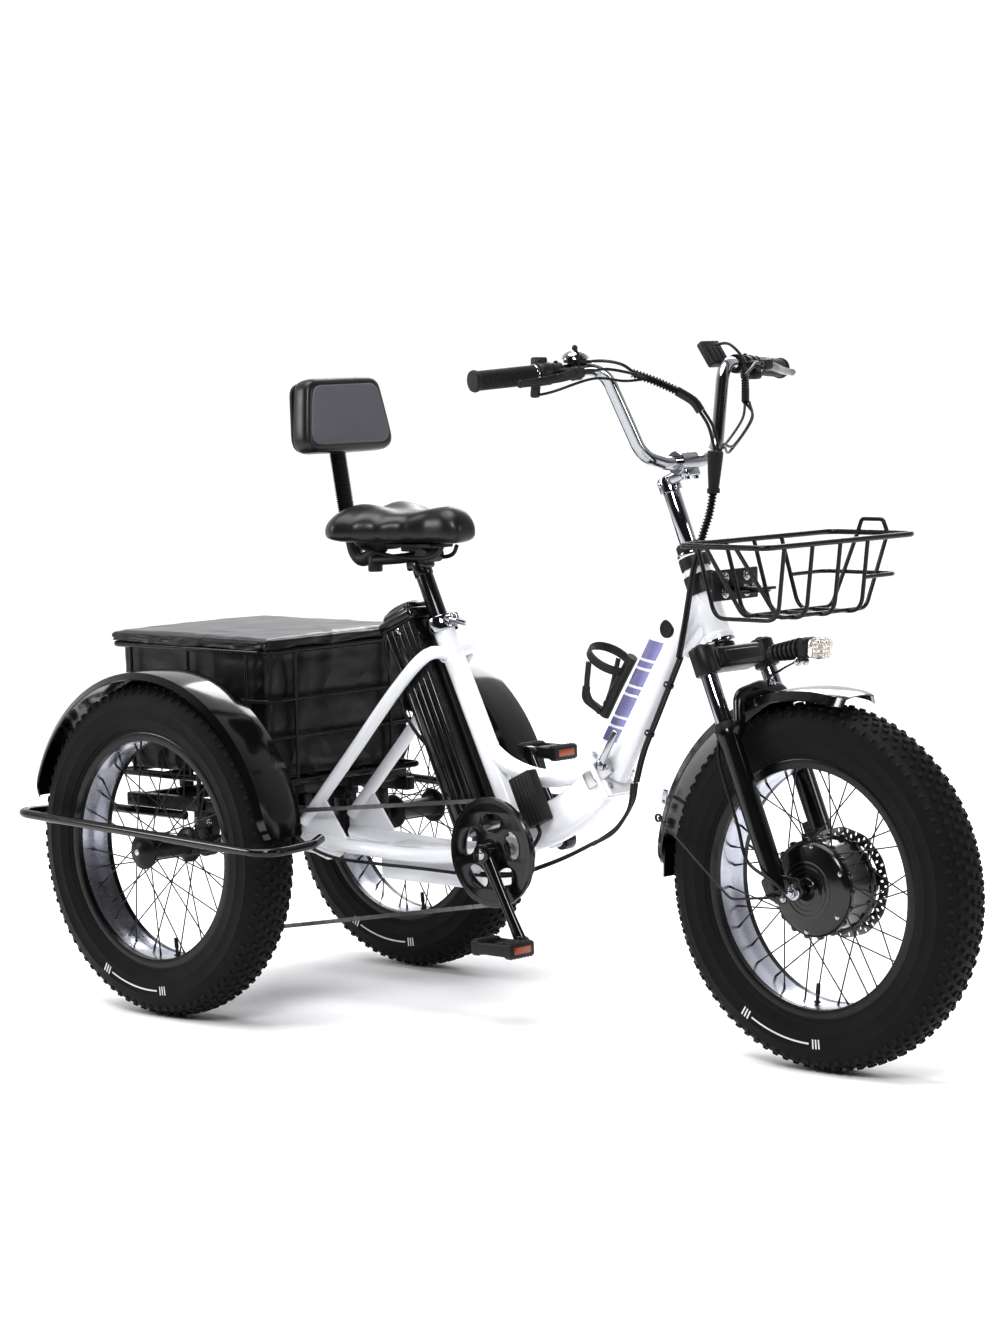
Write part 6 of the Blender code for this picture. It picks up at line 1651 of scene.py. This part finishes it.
def derailleur():
    x, z, r = DERAILLEUR
    body = "rear_frame"
    y = CHAIN_Y - 0.010
    with piece("derailleur_cage", SATIN, body, "derailleur") as bm:
        for offset in (0.0, 0.0180):
            outline = rounded_outline([(x - 0.016, z - 0.014), (x + 0.012, z - 0.016),
                                       (REAR_X + 0.018, 0.236), (REAR_X - 0.006, 0.246)], 0.008)
            plate(bm, outline, 0.0018, Matrix.Translation((0, y + offset, 0)) @ UPRIGHT,
                  [circle(0.006, x + 0.012, 0.185, 12, 2.2, 1.1)], bevel=0.0004)
        block(bm, (REAR_X + 0.004, y - 0.016, 0.244), (0.044, 0.026, 0.036), math.radians(-20), bevel=0.007,
              segments=4)
        block(bm, (REAR_X + 0.010, y - 0.026, 0.262), (0.030, 0.012, 0.022), math.radians(-20), bevel=0.004)
        plate(bm, rounded_outline([(-1.219, 0.241), (-1.155, 0.280), (-1.153, 0.367), (-1.178, 0.367),
                                   (-1.190, 0.300), (-1.219, 0.268)], 0.006), 0.004,
              Matrix.Translation((0, -0.1045, 0)) @ UPRIGHT, bevel=0.0008)
        plate(bm, teeth_outline(r - 0.0020, 11, 0.0030), 0.0030, Matrix.Translation((x, CHAIN_Y, z))
              @ UPRIGHT, [circle(0.0030, count=12)])
    with piece("derailleur_bolts", CHROME, body, slot="bright_steel") as bm:
        bolt(bm, (x, y - 0.0006, z), (0, -1, 0), 0.0040, 0.003)
        bolt(bm, (REAR_X + 0.004, y - 0.0285, 0.244), (0, -1, 0), 0.0045, 0.003, False)
        bolt(bm, (-1.170, -0.1062, 0.345), (0, -1, 0), 0.0045, 0.004)


# ---------------------------------------------------------------- seat and battery
SADDLE_LOW = 0.8285


def saddle_half_width(t):
    """Half width of the saddle, from the nose (0) to the back (1)."""
    stops = ((0.0, 0.034), (0.10, 0.037), (0.24, 0.038), (0.40, 0.050), (0.54, 0.080), (0.68, 0.112),
             (0.80, 0.124), (0.90, 0.122), (1.0, 0.110))
    for (t0, w0), (t1, w1) in zip(stops, stops[1:]):
        if t <= t1:
            u = (t - t0) / (t1 - t0)
            u = u * u * (3 - 2 * u)
            return w0 + (w1 - w0) * u
    return stops[-1][1]


def saddle_shape():
    """Crowned closed form: two lobes at the back, a dip in front of them, and a rounded nose."""
    nose, back = -0.774, -1.040
    middle = SADDLE_LOW + 0.021
    bm = bmesh.new()
    stations, around = 56, 44
    rings = []
    for i in range(stations + 1):
        t = (1 - math.cos(math.pi * i / stations)) / 2
        half = saddle_half_width(t)
        crown = 0.041 + 0.010 * math.exp(-((t - 0.80) / 0.22) ** 2) + 0.002 * math.exp(-((t
                - 0.14) / 0.12) ** 2)
        crown -= 0.008 * math.exp(-((t - 0.46) / 0.15) ** 2)
        front = math.sqrt(max(0.0, 1 - (1 - t / 0.15) ** 2)) if t < 0.15 else 1.0
        rear = math.sqrt(max(0.0, 1 - (1 - (1 - t) / 0.24) ** 2)) if t > 0.76 else 1.0
        end = max(0.04, front * rear)
        ring = []
        for k in range(around):
            a = 2 * math.pi * k / around
            y = half * end ** 0.45 * math.copysign(abs(math.cos(a)) ** 0.88, math.cos(a))
            if math.sin(a) > 0:
                lift = crown * end * math.sin(a) ** 0.90
                groove = math.exp(-(y / 0.026) ** 2) * math.exp(-((t - 0.80) / 0.24) ** 2) * math.sin(a)
                z = middle + lift - 0.016 * groove
            else:
                z = middle - 0.022 * end ** 0.5 * abs(math.sin(a)) ** 0.55
            ring.append(bm.verts.new((nose + (back - nose) * t, y, z)))
        rings.append(ring)
    skin(bm, rings, ends=True)
    bmesh.ops.recalc_face_normals(bm, faces=bm.faces)
    return solid("saddle_cover", bm)


def seat():
    with piece("seat_post_tube", BLACK, "seat_post", "seat_post") as bm:
        rod(bm, on_seat(-0.150), on_seat(0.104), 0.0155, sides=40, bevel=0.001)
        rod(bm, on_seat(0.080), on_seat(0.108), 0.0170, sides=40, bevel=0.003)
        block(bm, on_seat(0.103, 0.0), (0.048, 0.028, 0.018), SEAT_LEAN * 0.4, bevel=0.005)
    with piece("saddle_chassis", PLASTIC, "saddle", "saddle_frame") as bm:
        base = SADDLE_LOW - 0.005
        block(bm, (-0.925, 0, base), (0.176, 0.058, 0.0075), bevel=0.002)
        block(bm, (-0.895, 0, base - 0.0065), (0.046, 0.044, 0.0095), bevel=0.003)
        for side in (-1, 1):
            rail = smooth([(-0.818, side * 0.018, base - 0.001), (-0.832, side * 0.022, base - 0.016),
                           (-0.862, side * 0.024, base - 0.022), (-0.930, side * 0.030, base - 0.019),
                           (-0.985, side * 0.052, base - 0.004)], 0.006)
            sweep(bm, rail, 0.0036, sides=14)
        lathe(bm, [(0.0, -0.024), (0.0120, -0.024), (0.0140, -0.022), (0.0140, 0.022), (0.0120, 0.024),
                   (0.0, 0.024)], (-0.868, 0, base - 0.016), steps=32, closed=False)
        sweep(bm, smooth([(-0.880, 0.0, base - 0.018), (-0.945, 0.0, base - 0.026),
                          (-1.000, 0, base - 0.030)], 0.006), 0.0090, sides=20, flat=1.4)
        lathe(bm, [(0.0, 0.0), (0.012, 0.0), (0.013, 0.003), (0.013, 0.026), (0.010, 0.030), (0.0, 0.030)],
              (-1.003, 0, base - 0.050), axis=(0, 0, 1), steps=28, closed=False)
    with piece("saddle_spring_shell", PLASTIC, "saddle") as bm:
        lathe(bm, [(0.0, -0.016), (0.030, -0.014), (0.046, -0.008), (0.052, 0.001), (0.0, 0.001)],
              (-0.985, 0, SADDLE_LOW), axis=(0, 0, 1), steps=44, closed=False)
    with piece("backrest_post", PLASTIC, "saddle") as bm:
        foot = smooth([(-0.985, 0, SADDLE_LOW - 0.010), (-1.030, 0, SADDLE_LOW - 0.034), (-1.052, 0, 0.806),
                       (-1.062, 0, 0.836)], 0.004)
        sweep(bm, foot, 0.0125, sides=20)
        line = smooth([(-1.060, 0, 0.828), (-1.072, 0, 0.880), (-1.085, 0, 0.950), (-1.096, 0, 1.010)],
                      0.0009)
        ribs = [0.0186 + 0.0022 * math.cos(math.pi * i / 2) for i in range(len(line))]
        sweep(bm, line, ribs, sides=32, flat=0.38, up=(1, 0, 0))
    cover = saddle_shape()
    register(cover, VINYL, "saddle", "saddle", angle=80, subdivide=1)
    backrest()


def backrest():
    lean = math.radians(8)
    centre = Vector((-1.082, 0, 1.050))
    outline = rounded_outline([(-0.114, -0.067), (0.114, -0.067), (0.090, 0.067), (-0.090, 0.067)], 0.030)
    turn = Matrix.Translation(centre) @ Matrix.Rotation(-lean, 4, "Y") @ Matrix.Rotation(math.radians(90), 4,
            "Z") @ UPRIGHT
    bm = bmesh.new()
    plate(bm, outline, 0.046, turn, bevel=0.014)
    cover = solid("backrest_cover", bm)
    register(cover, VINYL, "saddle", "backrest_pad", angle=80, subdivide=1)
    # The flat front face carries painted sheen: a lighter grey in place of the soft light's reflection on the
    # black vinyl.
    with piece("backrest_face", VINYL_PAINTED_SHEEN, "saddle", angle=70) as bm:
        face = rounded_outline([(-0.101, -0.054), (0.101, -0.054), (0.079, 0.054), (-0.079, 0.054)], 0.026)
        forward = Matrix.Rotation(-lean, 4, "Y") @ Vector((0.0196, 0, 0))
        plate(bm, face, 0.0104, Matrix.Translation(forward) @ turn, bevel=0.0050)
    with piece("backrest_shell", PLASTIC, "saddle") as bm:
        backward = Matrix.Rotation(-lean, 4, "Y") @ Vector((-0.0225, 0, 0))
        plate(bm, rounded_outline([(-0.106, -0.062), (0.106, -0.062), (0.092, 0.062), (-0.092, 0.062)],
                                  0.028), 0.006, Matrix.Translation(backward) @ turn, bevel=0.002)


def battery():
    with piece("battery_case", BATTERY, "battery", "battery") as bm:
        block(bm, on_seat(-0.165, 0.0640), (0.068, 0.080, 0.418), SEAT_LEAN, bevel=0.008, segments=4)
        for side in (-1, 1):
            for back in (0.034, 0.049, 0.064, 0.079, 0.094):
                rod(bm, on_seat(-0.368, back, side * 0.0378), on_seat(0.012, back, side * 0.0378), 0.0046,
                    sides=14, bevel=0.001)
        for k in range(5):
            rod(bm, on_seat(-0.368, 0.0965, -0.028 + 0.014 * k), on_seat(0.012, 0.0965, -0.028 + 0.014 * k),
                0.0046, sides=14, bevel=0.001)
        block(bm, on_seat(0.024, 0.064), (0.088, 0.090, 0.022), SEAT_LEAN, bevel=0.007, segments=4)
        block(bm, on_seat(0.040, 0.062), (0.070, 0.070, 0.014), SEAT_LEAN, bevel=0.006, segments=4)
        handle = [on_seat(0.036, 0.030), on_seat(0.046, 0.048), on_seat(0.046, 0.088), on_seat(0.030, 0.112)]
        sweep(bm, smooth(handle, 0.005), 0.0080, sides=24, flat=3.8)
    hose("battery_lead", [on_seat(0.018, 0.108, -0.024), on_seat(0.000, 0.126, -0.026),
                          on_seat(-0.080, 0.132, -0.030), on_seat(-0.150, 0.122, -0.030),
                          on_seat(-0.205, 0.102, -0.026)], 0.0032, "battery")
    with piece("battery_lock", CHROME, "battery") as bm:
        rod(bm, on_seat(0.004, 0.066, -0.0395), on_seat(0.004, 0.066, -0.0428), 0.0075, sides=32, bevel=0.001)
        block(bm, on_seat(0.004, 0.066, -0.0428), (0.0016, 0.0012, 0.0070), SEAT_LEAN, bevel=0.0003)
    with piece("battery_rail", PLASTIC, "rear_frame") as bm:
        block(bm, on_seat(-0.215, 0.0238), (0.0070, 0.030, 0.300), SEAT_LEAN, bevel=0.002)
    with piece("controller_case", PLASTIC, "rear_frame", "controller_box") as bm:
        block(bm, on_seat(-0.372, -0.096, -0.0395), (0.052, 0.024, 0.092), SEAT_LEAN, bevel=0.004)
        for k in range(6):
            block(bm, on_seat(-0.372, -0.075 - 0.0084 * k, -0.0395), (0.0028, 0.0275, 0.084), SEAT_LEAN,
                  bevel=0.0008, segments=1)
    with piece("controller_lead", CABLE, "rear_frame") as bm:
        foot = on_seat(-0.421, -0.090, -0.0395)
        sweep(bm, smooth([on_seat(-0.417, -0.090, -0.0395), foot, foot + Vector((-0.004, 0.004, -0.020)),
                          (-0.655, -0.030, 0.266)], 0.005), 0.0034, sides=12)


# ---------------------------------------------------------------- floor, light and camera
def stage():
    size = 14
    mesh = bpy.data.meshes.new("floor")
    mesh.from_pydata([(-size, -size, 0), (size, -size, 0), (size, size, 0), (-size, size, 0)], [],
                     [(0, 1, 2, 3)])
    floor = bpy.data.objects.new("floor", mesh)
    bpy.context.scene.collection.objects.link(floor)
    pale = bpy.data.materials.new("pale_floor")
    pale.use_nodes = True
    shader = pale.node_tree.nodes["Principled BSDF"]
    shader.inputs["Base Color"].default_value = (0.93, 0.93, 0.94, 1)
    shader.inputs["Roughness"].default_value = 0.9
    mesh.materials.append(pale)

    world = bpy.context.scene.world or bpy.data.worlds.new("studio")
    bpy.context.scene.world = world
    world.use_nodes = True
    nodes, links = world.node_tree.nodes, world.node_tree.links
    background = nodes["Background"]
    background.inputs["Strength"].default_value = 1.0
    place = nodes.new("ShaderNodeTexCoord")
    turn = nodes.new("ShaderNodeMapping")
    turn.inputs["Rotation"].default_value = (0, 0, math.radians(-133.55))
    spread = nodes.new("ShaderNodeTexGradient")
    shade = nodes.new("ShaderNodeValToRGB")
    shade.color_ramp.elements[0].position = 0.30
    shade.color_ramp.elements[0].color = (0.035, 0.035, 0.037, 1)
    shade.color_ramp.elements[1].position = 0.85
    shade.color_ramp.elements[1].color = (1.05, 1.05, 1.06, 1)
    half = nodes.new("ShaderNodeMapping")
    half.inputs["Scale"].default_value = (0.5, 0.5, 0.5)
    half.inputs["Location"].default_value = (0.5, 0, 0)
    links.new(place.outputs["Generated"], turn.inputs["Vector"])
    links.new(turn.outputs["Vector"], half.inputs["Vector"])
    links.new(half.outputs["Vector"], spread.inputs["Vector"])
    links.new(spread.outputs["Fac"], shade.inputs["Fac"])
    links.new(shade.outputs["Color"], background.inputs["Color"])
    bpy.context.scene.view_settings.view_transform = "Standard"
    bpy.context.scene.view_settings.gamma = 0.86

    centre = upward(0.6)
    for name, place, size, power in (("key", (2.4, -3.2, 3.6), 1.4, 130), ("fill", (4.0, 1.2, 2.0), 1.2, 40),
                                     ("left", (-3.2, -3.0, 2.2), 1.3, 70), ("rim", (-2.2, 3.6, 3.2), 2.2, 80),
                                     ("top", (0.0, 0.0, 4.6), 2.0, 50)):
        data = bpy.data.lights.new(name, "AREA")
        data.shape = "SQUARE"
        data.size = size
        data.energy = power
        lamp = bpy.data.objects.new(name, data)
        bpy.context.scene.collection.objects.link(lamp)
        lamp.location = place
        lamp.rotation_euler = (centre - Vector(place)).to_track_quat("-Z", "Y").to_euler()
    overhead = bpy.data.lights.new("overhead", "SUN")
    overhead.energy = 2.4
    overhead.angle = math.radians(50)
    lamp = bpy.data.objects.new("overhead", overhead)
    bpy.context.scene.collection.objects.link(lamp)
    lamp.rotation_euler = (math.radians(12), math.radians(-10), 0)


def camera():
    """Camera at the photograph's place: ahead of the right side, at about the height of the bar."""
    yaw, pitch, roll = math.radians(43.55), math.radians(5.40), math.radians(-1.46)
    data = bpy.data.cameras.new("camera")
    data.sensor_fit = "VERTICAL"
    data.sensor_height = 36
    data.lens = 99.67
    view = bpy.data.objects.new("camera", data)
    bpy.context.scene.collection.objects.link(view)
    forward = Vector((-math.sin(yaw) * math.cos(pitch), math.cos(yaw) * math.cos(pitch), -math.sin(pitch)))
    right = Vector((math.cos(yaw), math.sin(yaw), 0))
    up = right.cross(forward)
    turned_right = right * math.cos(roll) + up * math.sin(roll)
    turned_up = up * math.cos(roll) - right * math.sin(roll)
    turn = Matrix((turned_right, turned_up, -forward)).transposed().to_4x4()
    view.matrix_world = Matrix.Translation(Vector((3.654, -4.585, 1.216)) + SHIFT) @ turn
    bpy.context.scene.camera = view


camera()
stage()
front_wheel()
rear_disc()
for side in (-1, 1):
    rear_wheel(side)
    rear_guard(side)
    grips_and_levers(side)
fork()
front_mudguard()
headlight()
stem_and_bar()
bar_controls()
bar_cables()
front_frame()
front_basket()
bottle_cage()
frame_cables()
rear_frame()
axle_carrier()
cargo_crate()
cargo_bag()
drive()
chain()
derailleur()
seat()
battery()
